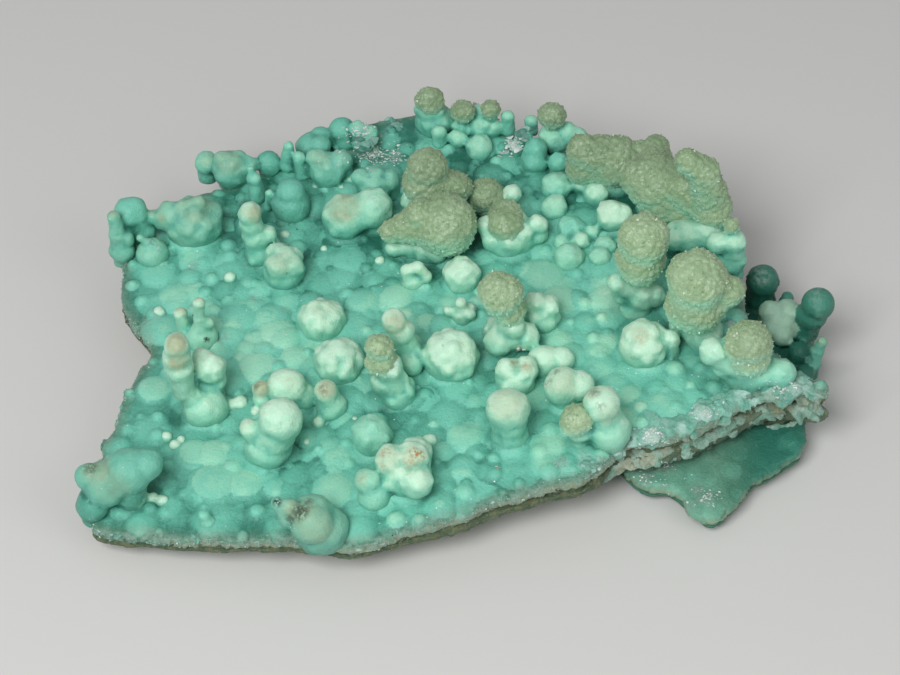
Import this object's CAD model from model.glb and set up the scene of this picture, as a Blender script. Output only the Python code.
"""The looks of a plate of blue-green aragonite: its domed crust, its knobs, their sugary caps and the rock.

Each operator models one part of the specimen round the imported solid, in metres, with X to the right, Y to
the back and Z up. Sizes below are in millimetres. The knobs stand where each is seen in the photograph.
"""

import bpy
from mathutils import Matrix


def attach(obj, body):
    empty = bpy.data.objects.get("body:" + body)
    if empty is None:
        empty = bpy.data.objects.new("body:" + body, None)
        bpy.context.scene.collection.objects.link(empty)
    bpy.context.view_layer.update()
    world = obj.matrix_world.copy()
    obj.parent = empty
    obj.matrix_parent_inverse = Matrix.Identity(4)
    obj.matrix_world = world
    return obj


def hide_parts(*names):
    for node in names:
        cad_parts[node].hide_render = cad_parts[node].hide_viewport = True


bl_info = {
    "name": "Aragonite plate",
    "version": (1, 0, 0),
    "blender": (4, 5, 0),
    "location": "3D View > Sidebar > Aragonite",
    "description": "Models a plate of blue-green aragonite with knobs and sugary caps",
    "category": "Object",
}

import math
from collections import namedtuple

import bpy
import numpy as np
from bpy.props import FloatProperty, FloatVectorProperty, IntProperty, PointerProperty
from mathutils import Vector
from mathutils.noise import noise, noise_vector, seed_set, voronoi

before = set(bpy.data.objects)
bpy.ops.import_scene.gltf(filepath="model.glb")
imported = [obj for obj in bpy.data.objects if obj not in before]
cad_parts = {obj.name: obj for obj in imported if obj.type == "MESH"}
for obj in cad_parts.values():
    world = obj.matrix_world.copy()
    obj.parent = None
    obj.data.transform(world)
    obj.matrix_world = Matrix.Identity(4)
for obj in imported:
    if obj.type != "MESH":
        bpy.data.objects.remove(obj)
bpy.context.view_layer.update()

MM = 0.001
NODE = "aragonite_plate"

# The vector noise takes its offsets from the clock unless it is given a seed.
NOISE_SEED = 1
seed_set(NOISE_SEED)

# The specimen's own frame is centred on its bounding box, this far from the point that the camera looks at.
MIDDLE_X = 2.8
MIDDLE_Y = 6.1

# The photograph's frame is the ruler for what is seen in it: pixels, and the camera's height and distance.
FRAME_WIDTH = 900.0
FRAME_MIDDLE = (450.0, 337.5)
FOCAL_PIXELS = 2600.0
SENSOR_WIDTH = 36.0
VIEW_DISTANCE = 520.0
VIEW_ELEVATION = math.radians(45.0)
VIEW_TARGET = Vector((-MIDDLE_X, -MIDDLE_Y, 15.0))
FORWARD = Vector((0.0, math.cos(VIEW_ELEVATION), -math.sin(VIEW_ELEVATION)))
UPWARD = Vector((0.0, math.sin(VIEW_ELEVATION), math.cos(VIEW_ELEVATION)))
EYE = VIEW_TARGET - FORWARD * VIEW_DISTANCE

# The tops of the crust and of the lower ledge are planes: height, and rise to the right and to the back.
Plane = namedtuple("Plane", "height rise_right rise_back")
CRUST = Plane(16.06, 0.07, 0.06)
LEDGE = Plane(5.74, 0.02, 0.03)

THIN_RIM = 4.0
MIDDLE_RIM = 6.0
THICK_RIM = 10.0
LEDGE_THICKNESS = 3.5

# The crust's rim, from the front left corner round by the right and the back, at the top of the crust.
FRONT_LEFT_RIM = ((-69, -42), (-66, -45.5), (-57, -47), (-47, -48.5), (-34, -49.5), (-27, -50), (-20, -51.5),
                  (-15, -51))
FRONT_RIGHT_RIM = ((-8, -48.5), (1, -46), (7, -43), (13, -41), (20, -39), (25, -38), (29.5, -34.5),
                   (32.5, -31))
RIGHT_FRONT_RIM = ((36, -29), (42, -28.5), (48, -26.5), (52, -24), (57, -21), (62, -18.5), (67, -17.5),
                   (71.2, -18.2), (73.8, -18.4))
RIGHT_RIM = ((71, -16), (66, -11), (61.5, -7), (59.5, 1), (59, 10), (58.5, 18), (56, 25), (52, 31),
             (46, 36), (38, 40))
BACK_RIM = ((31, 45), (25, 50), (18, 54), (13, 57), (10, 63.5), (4, 66.5), (-2, 66.5), (-8, 65), (-16, 63.5),
            (-22, 61), (-28, 55), (-36, 51.5), (-43, 47.5), (-51, 44.5), (-58, 40.5), (-65, 37))
LEFT_RIM = ((-68.5, 31), (-68, 23), (-67.5, 14), (-65, 8), (-61.5, 3), (-60.5, -2), (-63, -7), (-65.2, -14),
            (-66, -20), (-68, -27), (-70, -34))

# The ledge's rim, at the top of the ledge. Its left and back sides run in under the crust.
LEDGE_LINE = ((34, -27), (38, -31), (43, -32), (47, -36.5), (50.5, -39.5), (55, -35.5), (59.5, -30),
              (65, -26), (69.5, -22), (71, -12), (72, -3), (74, 5), (75, 12), (71, 16), (62, 19),
              (50, 16), (36, 8), (28, -6), (28, -18))

# A knob's foot lies this part of its core's radius behind the place where it is seen, and its column starts
# this far inside the crust.
FOOT_PART = 0.98
STEM_ROOT = 2.0

# A lobe seen in front of its core sits on a sphere of this part of the core's radius. The column to it is
# this part as thick as the lobe, and its root is at most this many times as thick as that.
LOBE_SEAT = 0.8
NECK_PART = 0.88
NECK_SPREAD = 1.5

# The column between two overlapping caps of one knob, and of two knobs, in parts of their radii.
CAP_NECK = 0.93
CAP_BRIDGE = 0.9

# The columns inside a knob are thinner than its lobes, so that the lobes stay round where they meet.
INNER_FOOT = 0.84
INNER_STEM = 0.76

# A knob's foot is the lowest point where it is seen to meet the crust. A lobe or a cap is seen at a place
# with a radius, and the first one is the knob's core. Bumps are small lobes spread over that core.
Knob = namedtuple("Knob", "name foot lobes caps bumps", defaults=((), 0))

BACK_LEFT_KNOBS = (
    Knob("corner_finger", (122, 264), ((122, 250, 13), (118, 235, 10), (114, 217, 7), (127, 238, 8))),
    Knob("corner_dome", (138, 250), ((139, 230, 16), (130, 213, 17))),
    Knob("twin_fingers", (153, 270), ((153, 254, 16), (147, 242, 5), (140, 238, 4))),
    Knob("left_mulberry", (194, 254), ((194, 225, 28), (172, 217, 15), (162, 219, 9), (152, 217, 7),
                                       (199, 203, 9), (185, 209, 11), (212, 213, 11), (205, 226, 9)), (), 8),
    Knob("rim_ball", (207, 180), ((207, 163, 12),)),
    Knob("rim_mulberry", (233, 192), ((233, 170, 20), (249, 166, 10), (222, 160, 9), (238, 156, 7)), (), 6),
    Knob("blade_finger", (257, 208), ((257, 195, 10), (254, 179, 8), (250, 169, 5))),
    Knob("blade", (268, 215), ((268, 207, 6), (269, 193, 4))),
    Knob("tan_stack", (260, 269), ((260, 252, 16), (257, 236, 14), (252, 224, 12), (250, 214, 12),
                                   (268, 234, 9), (271, 246, 10))),
    Knob("two_tier_dome", (291, 227), ((291, 205, 20), (291, 192, 15))),
    Knob("rim_teal_ball", (268, 180), ((268, 164, 13),)),
    Knob("rim_finger", (288, 178), ((288, 165, 8), (288, 146, 6))),
    Knob("rim_club", (303, 184), ((303, 174, 9), (298, 158, 6))),
    Knob("rim_round", (311, 164), ((311, 147, 16), (320, 146, 12))),
    Knob("back_lobed", (330, 192), ((328, 171, 20), (318, 160, 11), (340, 162, 12), (345, 173, 8)), (), 6),
    Knob("thin_finger", (337, 154), ((337, 147, 5),)),
    Knob("glassy_column", (343, 154), ((343, 139, 14), (342, 130, 13), (355, 134, 9))),
    Knob("broken_chunk", (366, 155), ((363, 142, 12), (369, 134, 10), (358, 129, 9))),
    Knob("back_mulberry", (377, 208), ((374, 184, 18), (389, 181, 11), (392, 196, 10), (362, 178, 10)), (),
         6),
    Knob("tan_ball", (347, 247), ((345, 217, 23), (373, 208, 20), (377, 224, 14), (358, 233, 12))),
    Knob("left_round", (284, 293), ((284, 271, 21), (278, 267, 13), (292, 266, 12), (285, 258, 13))),
)

BACK_KNOBS = (
    Knob("tall_back_knob", (433, 142), ((434, 122, 19), (430, 110, 15)), ((430, 101, 15),)),
    Knob("back_cap_left", (463, 141), ((463, 129, 10),), ((463, 112, 12),)),
    Knob("back_cap_right", (493, 141), ((493, 128, 9),), ((491, 110, 9),)),
    Knob("back_mint", (482, 142), ((482, 126, 15), (481, 114, 12))),
    Knob("back_column", (439, 152), ((439, 142, 8), (439, 132, 8))),
    Knob("back_ball_left", (458, 152), ((458, 139, 10),)),
    Knob("back_ball", (479, 163), ((479, 148, 14),)),
    Knob("back_finger", (508, 139), ((508, 130, 7), (508, 117, 6))),
    Knob("rim_bud", (532, 131), ((532, 121, 7),)),
    Knob("rim_splinter", (517, 160), ((518, 147, 8), (525, 137, 7))),
    Knob("back_capped", (556, 156), ((554, 138, 16), (567, 133, 12), (577, 136, 10)), ((553, 116, 14),)),
    Knob("back_oval", (535, 176), ((535, 160, 14), (536, 150, 12))),
    Knob("back_small_ball", (559, 179), ((559, 162, 11),)),
    Knob("mint_upper", (557, 204), ((557, 188, 16),)),
    Knob("mint_lower", (555, 223), ((555, 208, 14),)),
    Knob("mint_right", (594, 211), ((596, 195, 14), (580, 203, 7))),
    Knob("mint_pair", (612, 238), ((611, 216, 16), (602, 227, 11), (623, 212, 9))),
    Knob("mint_front", (571, 242), ((571, 228, 14),)),
    Knob("mint_bead_right", (592, 242), ((592, 233, 8),)),
    Knob("mint_bead_left", (563, 251), ((562, 243, 8),)),
    Knob("mint_bead", (581, 252), ((581, 242, 10), (591, 247, 7))),
    Knob("mint_bead_far", (605, 257), ((605, 246, 11),)),
    Knob("mint_round", (569, 274), ((569, 259, 15),)),
    Knob("mint_side", (600, 270), ((600, 258, 11),)),
)

RIDGE_KNOBS = (
    Knob("ridge_start", (583, 200), ((583, 184, 14),), ((583, 151, 17), (583, 168, 17))),
    Knob("ridge_first", (615, 202), ((615, 182, 20), (623, 198, 9), (631, 208, 8)),
         ((617, 161, 27), (600, 155, 21))),
    Knob("ridge_back", (655, 195), ((655, 176, 16),), ((655, 151, 16), (640, 152, 13))),
    Knob("ridge_second", (658, 228), ((658, 206, 22),), ((655, 182, 30), (640, 178, 20), (662, 204, 22),
                                                            (679, 190, 20))),
    Knob("ridge_third", (696, 234), ((696, 214, 18),), ((697, 190, 27), (681, 206, 22), (684, 188, 24))),
    Knob("ridge_corner", (714, 246), ((712, 226, 15),), ((712, 208, 21), (705, 172, 17), (686, 162, 13),
                                                         (721, 219, 12))),
    Knob("ridge_mint", (694, 260), ((689, 237, 18), (705, 234, 16), (676, 239, 12), (720, 246, 16))),
    Knob("ridge_end", (733, 279), ((731, 260, 16), (733, 242, 13), (718, 243, 11)), ((732, 226, 8),)),
    Knob("mitten", (640, 322), ((640, 296, 16), (618, 283, 10), (654, 296, 11), (632, 309, 13),
                                (620, 297, 9)), ((643, 239, 26), (640, 260, 26))),
    Knob("big_cap", (703, 354), ((703, 334, 20), (716, 346, 12), (678, 326, 9)),
         ((697, 280, 31), (696, 304, 31), (727, 292, 17))),
    Knob("end_cap", (752, 397), ((752, 377, 17), (712, 351, 15), (738, 375, 15), (780, 374, 16),
                                 (764, 384, 14), (723, 366, 12)), ((747, 343, 24), (748, 354, 23))),
    Knob("right_lobed", (652, 374), ((644, 345, 25), (671, 340, 11), (666, 359, 15), (643, 371, 10)), (), 10),
)

CENTRE_KNOBS = (
    Knob("cap_pair_rear", (430, 228), ((415, 202, 14), (440, 205, 17)), ((427, 168, 21), (427, 183, 24),
                                                                         (455, 187, 17), (440, 196, 16))),
    Knob("cap_pair_front", (428, 267), ((428, 248, 18), (395, 249, 9), (412, 250, 11), (436, 252, 12)),
         ((445, 225, 32), (421, 213, 17), (407, 227, 17), (392, 231, 12))),
    Knob("side_cap", (493, 220), ((499, 203, 14), (512, 194, 10)), ((487, 197, 19),)),
    Knob("patched_ball", (513, 261), ((511, 235, 26), (486, 226, 10), (493, 240, 11), (535, 234, 12),
                                      (538, 224, 10)), ((506, 225, 18),)),
    Knob("small_mulberry", (416, 292), ((413, 282, 11), (407, 271, 7), (418, 267, 7), (426, 276, 7))),
    Knob("round_mulberry", (461, 297), ((461, 276, 19),), (), 11),
    Knob("tiny_mulberry", (461, 329), ((462, 314, 11), (461, 303, 7), (469, 314, 7), (448, 311, 6))),
    Knob("tall_cap", (509, 364), ((508, 333, 18), (498, 343, 15), (525, 336, 15), (512, 327, 13)),
         ((500, 293, 23), (509, 310, 17))),
    Knob("cap_neighbour", (543, 339), ((541, 315, 19), (535, 304, 13), (550, 309, 11)), (), 8),
    Knob("leaning_stack", (406, 378), ((406, 353, 18), (399, 332, 15), (393, 321, 13), (411, 364, 12))),
    Knob("front_cap", (397, 413), ((398, 394, 18), (389, 368, 14), (384, 383, 13), (402, 380, 8),
                                   (408, 392, 8)), ((379, 348, 15), (380, 361, 16))),
    Knob("centre_mulberry", (452, 389), ((451, 357, 28),), (), 14),
    Knob("left_mulberry_rear", (323, 344), ((322, 321, 23),), (), 12),
    Knob("left_mulberry_front", (340, 389), ((339, 363, 25),), (), 13),
)

FRONT_KNOBS = (
    Knob("double_ball", (298, 416), ((287, 388, 20), (303, 397, 16))),
    Knob("tan_thumb", (330, 424), ((331, 407, 16), (326, 392, 13), (343, 414, 9))),
    Knob("tan_tip", (262, 412), ((263, 398, 12), (261, 390, 10))),
    Knob("big_thumb", (267, 474), ((267, 447, 24), (280, 420, 23), (249, 428, 11))),
    Knob("teal_ball", (371, 463), ((371, 436, 21),)),
    Knob("stained_ball", (405, 505), ((405, 472, 28), (390, 461, 15), (412, 458, 16), (416, 482, 18))),
    Knob("stained_side", (373, 513), ((374, 494, 18), (367, 481, 13))),
    Knob("snail", (318, 555), ((322, 530, 26), (312, 523, 22), (289, 516, 12), (278, 504, 8), (290, 506, 9))),
    Knob("corner_cluster", (124, 519), ((130, 470, 24), (106, 484, 25), (89, 478, 15), (147, 466, 16))),
    Knob("corner_teal", (94, 525), ((94, 504, 18),)),
    Knob("front_finger", (208, 532), ((208, 523, 9), (204, 515, 6))),
    Knob("white_fingers", (202, 354), ((202, 338, 16), (200, 318, 8), (199, 303, 7), (208, 323, 7))),
    Knob("thin_fingers", (185, 343), ((185, 331, 8), (181, 314, 6))),
    Knob("tan_candle", (203, 432), ((205, 408, 23), (185, 389, 12), (180, 367, 15), (178, 357, 15),
                                    (177, 346, 13))),
    Knob("candle_side", (212, 412), ((208, 368, 17), (201, 357, 10), (215, 380, 12), (206, 387, 8)), (), 6),
    Knob("tan_round", (510, 453), ((508, 409, 22), (510, 434, 20))),
    Knob("mint_above_round", (516, 402), ((516, 379, 21), (507, 370, 12), (526, 371, 12))),
    Knob("string_first", (546, 380), ((545, 362, 17), (562, 360, 13))),
    Knob("string_second", (566, 416), ((562, 386, 19), (580, 386, 15))),
    Knob("disc_ball", (606, 456), ((608, 428, 25), (601, 405, 19))),
    Knob("disc", (579, 455), ((580, 433, 12),), ((577, 420, 17),)),
)

LEDGE_KNOBS = (
    Knob("ledge_tall", (760, 312), ((760, 298, 15), (763, 281, 17))),
    Knob("ledge_mulberry", (782, 350), ((779, 323, 22), (770, 312, 12), (788, 313, 12), (782, 336, 11))),
    Knob("ledge_club", (801, 350), ((806, 332, 12), (812, 315, 16), (818, 304, 17))),
    Knob("ledge_finger", (813, 376), ((814, 363, 8), (818, 351, 7), (822, 342, 6))),
    Knob("ledge_round", (800, 368), ((800, 353, 12),)),
    Knob("ledge_bud", (787, 306), ((787, 298, 7),)),
    Knob("ledge_front", (804, 386), ((804, 374, 10),)),
)

# Low domes of the crust that stand out, as they are seen.
SEEN_DOMES = ((235, 325, 15), (256, 340, 13), (285, 338, 17), (297, 358, 16), (362, 302, 17), (350, 262, 18),
              (250, 283, 10), (262, 288, 12), (398, 297, 17), (425, 323, 14), (475, 402, 12), (465, 433, 14),
              (463, 470, 14), (545, 448, 14), (330, 448, 14), (215, 485, 25), (245, 485, 20), (275, 488, 14),
              (335, 470, 12), (600, 350, 13), (545, 275, 20), (630, 395, 14), (155, 390, 18), (118, 447, 15),
              (196, 455, 20), (213, 456, 20))

# How far a small bump reaches, in parts of the radius of the ball that it grows on.
BUMP_REACH = 1.09

# Knobs that are smooth eggs. All others carry small bumps on every lobe.
SMOOTH_KNOBS = ("corner_finger", "corner_dome", "twin_fingers", "rim_ball", "blade_finger", "blade",
                "rim_teal_ball", "rim_finger", "rim_club", "rim_round", "thin_finger", "glassy_column",
                "rim_bud", "back_finger", "back_column", "tan_tip", "big_thumb", "stained_side", "snail",
                "corner_cluster", "corner_teal", "front_finger", "tan_candle", "tan_round", "string_first",
                "string_second", "disc_ball", "disc", "thin_fingers", "ledge_tall", "ledge_club",
                "ledge_finger", "ledge_round", "ledge_bud", "ledge_front", "double_ball", "tan_thumb",
                "two_tier_dome")

# White beads on the crust, as they are seen.
BEADS = ((286, 236, 6), (281, 217, 7), (345, 182, 5), (352, 181, 5), (343, 190, 5), (316, 187, 5),
         (167, 437, 6), (175, 446, 6), (181, 440, 4), (153, 498, 6), (163, 500, 7), (230, 405, 7),
         (241, 403, 8), (190, 267, 4), (230, 279, 6), (160, 313, 7), (318, 423, 6), (307, 443, 6),
         (355, 420, 5), (255, 413, 6), (430, 441, 8), (222, 402, 5), (470, 312, 5), (380, 262, 6),
         (324, 250, 5))

# How pale each group of knobs is, from teal at 0 to cream at 1, and the knobs that differ from their group.
GROUP_PALE = ((BACK_LEFT_KNOBS, 0.5), (BACK_KNOBS, 0.62), (RIDGE_KNOBS, 0.78), (CENTRE_KNOBS, 0.85),
              (FRONT_KNOBS, 0.86), (LEDGE_KNOBS, 0.2))
KNOB_PALE = {"corner_dome": 0.36, "two_tier_dome": 0.28, "rim_teal_ball": 0.15, "rim_round": 0.35,
             "glassy_column": 0.2, "left_mulberry": 0.6, "tan_stack": 0.78, "tan_ball": 0.72,
             "left_round": 0.76, "back_oval": 0.3, "back_small_ball": 0.35, "mint_front": 0.45,
             "mint_right": 0.8, "mint_pair": 1.0, "mint_lower": 0.7, "mint_bead": 0.75,
             "mint_bead_right": 0.7, "tiny_mulberry": 0.95, "small_mulberry": 0.95, "centre_mulberry": 0.98,
             "teal_ball": 0.55, "stained_side": 0.6, "corner_cluster": 0.38, "corner_teal": 0.12,
             "snail": 0.54, "right_lobed": 0.92, "front_finger": 0.45, "ledge_mulberry": 0.98,
             "ledge_finger": 0.4, "rim_splinter": 0.15, "ledge_tall": 0.1, "ledge_club": 0.22,
             "ledge_round": 0.05, "ledge_front": 0.05}
BEAD_PALE = 0.95

# How much duller and greener some knobs are.
KNOB_DULL = {"corner_cluster": 0.27, "left_mulberry": 0.28, "snail": 0.28, "corner_teal": 0.3,
             "rim_round": 0.2, "two_tier_dome": 0.1, "corner_dome": 0.1, "left_round": 0.12,
             "rim_mulberry": 0.2,
             "back_lobed": 0.15, "tall_back_knob": 0.15, "back_mint": 0.1, "corner_finger": 0.2,
             "twin_fingers": 0.15, "back_mulberry": 0.12, "ledge_tall": 0.5, "ledge_club": 0.42,
             "ledge_round": 0.5, "ledge_bud": 0.5, "ledge_front": 0.5, "ledge_mulberry": 0.1}


def height_on(plane, x, y):
    """Give the height of a plane over a place."""
    return plane.height + plane.rise_right * x + plane.rise_back * y


def sight_line(seen):
    """Give the direction from the eye through a place in the photograph."""
    across = (seen[0] - FRAME_MIDDLE[0]) / FOCAL_PIXELS
    up = (FRAME_MIDDLE[1] - seen[1]) / FOCAL_PIXELS
    return FORWARD + UPWARD * up + Vector((across, 0.0, 0.0))


def seen_on_plane(seen, plane):
    """Find the point of a plane that is seen at a place in the photograph."""
    line = sight_line(seen)
    drop = height_on(plane, EYE.x, EYE.y) - EYE.z
    reach = drop / (line.z - plane.rise_right * line.x - plane.rise_back * line.y)
    return EYE + line * reach


def seen_at_depth(seen, y):
    """Find the point at a depth y that is seen at a place in the photograph."""
    line = sight_line(seen)
    return EYE + line * ((y - EYE.y) / line.y)


def real_radius(pixels, point):
    """Turn a radius in pixels into millimetres at a point."""
    return pixels * (point - EYE).dot(FORWARD) / FOCAL_PIXELS


def lobe_centre(seen, core, core_radius):
    """Place a lobe on the front of its core where it is seen in front of it, or else beside or above it."""
    beside = seen_at_depth(seen, core.y)
    line = (beside - EYE).normalized()
    nearest = EYE + line * (core - EYE).dot(line)
    apart = (nearest - core).length
    seat = LOBE_SEAT * core_radius
    if apart < seat:
        return nearest - line * math.sqrt(seat * seat - apart * apart)
    return beside


def mirrored_in_depth(point, core):
    """Give the point behind the core that answers one in front of it."""
    return Vector((point.x, 2 * core.y - point.y, point.z))


def bump_directions(count, seed):
    """Spread directions over a ball, from near its top to below its waist, each with its bump's size."""
    draw = np.random.default_rng(seed)
    golden_turn = math.pi * (3 - math.sqrt(5))
    highest, lowest = 0.97, -0.1
    directions = []
    for index in range(count):
        rise = highest - (highest - lowest) * index / count
        flat = math.sqrt(1 - rise * rise)
        turn = golden_turn * index
        direction = Vector((flat * math.cos(turn), flat * math.sin(turn), rise))
        direction += Vector(draw.normal(0.0, 0.17, 3))
        directions.append((direction.normalized(), draw.uniform(0.3, 0.44)))
    return directions


def nearest_ball(centre, balls):
    """Find the ball whose centre is the closest."""
    return min(balls, key=lambda ball: (ball[0] - centre).length)


class KnobShape:
    """A knob worked out in millimetres: balls of aragonite, balls of sugar, and the columns between them."""

    def __init__(self, knob, plane, pale):
        self.pale = pale
        self.dull = KNOB_DULL.get(knob.name, 0.0)
        core_seen = knob.lobes[0]
        foot = seen_on_plane(knob.foot, plane)
        foot_radius = FOOT_PART * real_radius(core_seen[2], foot)
        foot.y += foot_radius
        foot.z = height_on(plane, foot.x, foot.y) - STEM_ROOT
        core = seen_at_depth(core_seen, foot.y)
        core_radius = real_radius(core_seen[2], core)
        self.balls = [(core, core_radius)]
        self.columns = [(foot, INNER_FOOT * foot_radius, core, INNER_STEM * core_radius)]
        for seen in knob.lobes[1:]:
            self.add_lobe(seen, self.balls)
        self.add_bumps(knob)
        self.top = max(centre.z + radius - height_on(plane, centre.x, centre.y)
                       for centre, radius in self.balls)
        self.caps = []
        self.cap_columns = []
        for seen in knob.caps:
            earlier = list(self.caps)
            self.add_lobe(seen, self.caps, grown=not earlier)
            for place, radius in self.caps[len(earlier):] if earlier else ():
                other, other_radius = nearest_ball(place, earlier)
                self.cap_columns.append((other, CAP_NECK * other_radius, place, CAP_NECK * radius))

    def add_bumps(self, knob):
        """Add small bumps: many on the core of a mulberry, a few on each lobe of the other uneven knobs."""
        bumpy = [] if knob.name in SMOOTH_KNOBS else [ball for ball in self.balls[1:] if ball[1] > 1.7]
        count = round(1.9 * knob.bumps) if knob.bumps else 9 * (knob.name not in SMOOTH_KNOBS)
        for index, (centre, radius) in enumerate([self.balls[0]] + bumpy):
            for direction, part in bump_directions(6 if index else count, (*knob.foot, index)):
                self.balls.append((centre + direction * (BUMP_REACH - part) * radius, part * radius))

    def add_lobe(self, seen, balls, grown=True):
        """Add a lobe as seen, the one behind the core that answers it, and a column to what it grows from."""
        core, core_radius = self.balls[0]
        centre = lobe_centre(seen, core, core_radius)
        radius = real_radius(seen[2], centre)
        centres = [centre]
        if centre.y < core.y:
            centres.append(mirrored_in_depth(centre, core))
        for place in centres:
            other, other_radius = nearest_ball(place, self.balls)
            neck = NECK_PART * min(NECK_SPREAD * radius, other_radius)
            if grown:
                self.columns.append((other, neck, place, NECK_PART * radius))
            balls.append((place, radius))


def knob_shapes():
    """Work out every knob of the crust, and every knob of the ledge."""
    crust, ledge = [], []
    for group, pale in GROUP_PALE:
        plane, shapes = (LEDGE, ledge) if group is LEDGE_KNOBS else (CRUST, crust)
        for knob in group:
            shapes.append(KnobShape(knob, plane, KNOB_PALE.get(knob.name, pale)))
    return crust, ledge


def rim_points(stretches):
    """Join rim stretches into an array of places and an array of thicknesses that change gently."""
    places = np.array([place for points, thickness in stretches for place in points], float)
    raw = np.array([thickness for points, thickness in stretches for place in points], float)
    gentle = sum(np.roll(raw, step) for step in range(-2, 3)) / 5
    return places - (MIDDLE_X, MIDDLE_Y), gentle


def rounded_rim(places, thickness, spacing):
    """Run a smooth closed curve through the places, with a point every so many millimetres."""
    before, after, beyond = np.roll(places, 1, 0), np.roll(places, -1, 0), np.roll(places, -2, 0)
    fine_places, fine_thickness = [], []
    for p0, p1, p2, p3, t1, t2 in zip(before, places, after, beyond, thickness, np.roll(thickness, -1)):
        steps = max(2, round(np.linalg.norm(p2 - p1) / spacing))
        for t in np.arange(steps) / steps:
            fine_places.append(0.5 * (2 * p1 + (p2 - p0) * t + (2 * p0 - 5 * p1 + 4 * p2 - p3) * t * t
                                      + (3 * p1 - p0 - 3 * p2 + p3) * t ** 3))
            fine_thickness.append(t1 + (t2 - t1) * t)
    return np.array(fine_places), np.array(fine_thickness)


CRUST_RIM = rim_points(((FRONT_LEFT_RIM, THIN_RIM), (FRONT_RIGHT_RIM, MIDDLE_RIM),
                        (RIGHT_FRONT_RIM, THICK_RIM), (RIGHT_RIM, THICK_RIM), (BACK_RIM, MIDDLE_RIM),
                        (LEFT_RIM, THIN_RIM)))
LEDGE_RIM = rim_points(((LEDGE_LINE, LEDGE_THICKNESS),))
CRUST_SHAPES, LEDGE_SHAPES = knob_shapes()


# Meshes

# Triangles that a grown piece may keep, and the part of its points under which a loose shell is dropped.
MOST_TRIANGLES = {"crust": 180000, "knobs": 188000, "sugary_caps": 150000, "ledge": 90000,
                  "broken_band": 150000}
SMALL_SHELL = 0.02

# Cells of the grids that grow the pieces together, and the spacing of points round the rock, in millimetres.
KNOB_CELL = 0.4
CAP_CELL = 0.37
LEDGE_CELL = 0.45
BAND_CELL = 0.3
ROCK_SPACING = 0.45

# Points that are worked through at once where each is measured against many others.
BLOCK = 8000


def deselect():
    """Clear the selection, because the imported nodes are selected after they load."""
    bpy.ops.object.select_all(action="DESELECT")
    bpy.context.view_layer.objects.active = None


def work_on(item):
    """Select one object and make it the active one."""
    deselect()
    item.select_set(True)
    bpy.context.view_layer.objects.active = item


def apply_modifiers(item):
    """Apply all of an object's modifiers."""
    work_on(item)
    for modifier in list(item.modifiers):
        bpy.ops.object.modifier_apply(modifier=modifier.name)


def taken(item):
    """Take a template's points and faces as arrays, and delete it. Its faces all have as many corners."""
    mesh = item.data
    points = np.empty(len(mesh.vertices) * 3)
    mesh.vertices.foreach_get("co", points)
    faces = np.array([tuple(face.vertices) for face in mesh.polygons])
    bpy.data.objects.remove(item)
    bpy.data.meshes.remove(mesh)
    return points.reshape(-1, 3), faces


def unit_ball(subdivisions):
    """Model a round ball of radius 1."""
    deselect()
    bpy.ops.mesh.primitive_ico_sphere_add(subdivisions=subdivisions, radius=1.0)
    return taken(bpy.context.object)


def unit_column():
    """Model a closed column of radius 1 from height 0 to 1."""
    deselect()
    bpy.ops.mesh.primitive_cylinder_add(vertices=16, radius=1.0, depth=1.0, location=(0, 0, 0.5))
    bpy.ops.object.transform_apply(location=True)
    bpy.ops.object.mode_set(mode="EDIT")
    bpy.ops.mesh.quads_convert_to_tris()
    bpy.ops.object.mode_set(mode="OBJECT")
    return taken(bpy.context.object)


def mesh_object(name, points, faces):
    """Make an object from points in millimetres and faces."""
    mesh = bpy.data.meshes.new(name)
    corners = faces if isinstance(faces, list) else faces.tolist()
    mesh.from_pydata((np.asarray(points) * MM).tolist(), [], corners)
    item = bpy.data.objects.new(name, mesh)
    bpy.context.scene.collection.objects.link(item)
    return item


def copies(placed, faces):
    """Give the points and faces of copies of one template, whose points are placed row by row."""
    shift = np.arange(len(placed))[:, None, None] * placed.shape[1]
    return placed.reshape(-1, 3), (faces[None] + shift).reshape(-1, faces.shape[1])


def joined(meshes):
    """Join point and face arrays into one pair of lists."""
    points, faces, start = [], [], 0
    for mesh_points, mesh_faces in meshes:
        points.append(mesh_points)
        faces.extend([int(corner) + start for corner in face] for face in mesh_faces)
        start += len(mesh_points)
    return np.concatenate(points), faces


def balls_mesh(balls, template):
    """Put a copy of the template ball on each row of x, y, z and radius."""
    points, faces = template
    return copies(balls[:, None, :3] + points[None] * balls[:, None, 3:4], faces)


def columns_mesh(columns, template):
    """Stretch a copy of the template column between each pair of points, with a radius at each end."""
    points, faces = template
    meshes = []
    for low, low_radius, high, high_radius in columns:
        axis = high - low
        if axis.length < 1e-6:
            continue
        turn = np.array(axis.to_track_quat("Z", "Y").to_matrix())
        radius = low_radius + (high_radius - low_radius) * points[:, 2:3]
        local = np.hstack((points[:, :2] * radius, points[:, 2:3] * axis.length))
        meshes.append((local @ turn.T + np.array(low), faces))
    return meshes


def rows(balls):
    """Write (centre, radius) pairs as rows of x, y, z and radius."""
    return np.array([(centre.x, centre.y, centre.z, radius) for centre, radius in balls])


def balls_of(shapes):
    """Give the aragonite balls of some knobs as rows of x, y, z and radius."""
    return np.concatenate([rows(shape.balls) for shape in shapes])


def per_ball(shapes, quality):
    """Repeat one quality of each knob for each of its balls."""
    return np.concatenate([np.full(len(shape.balls), getattr(shape, quality)) for shape in shapes])


def columns_of(shapes):
    """Give the columns of some knobs."""
    return [column for shape in shapes for column in shape.columns]


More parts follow.
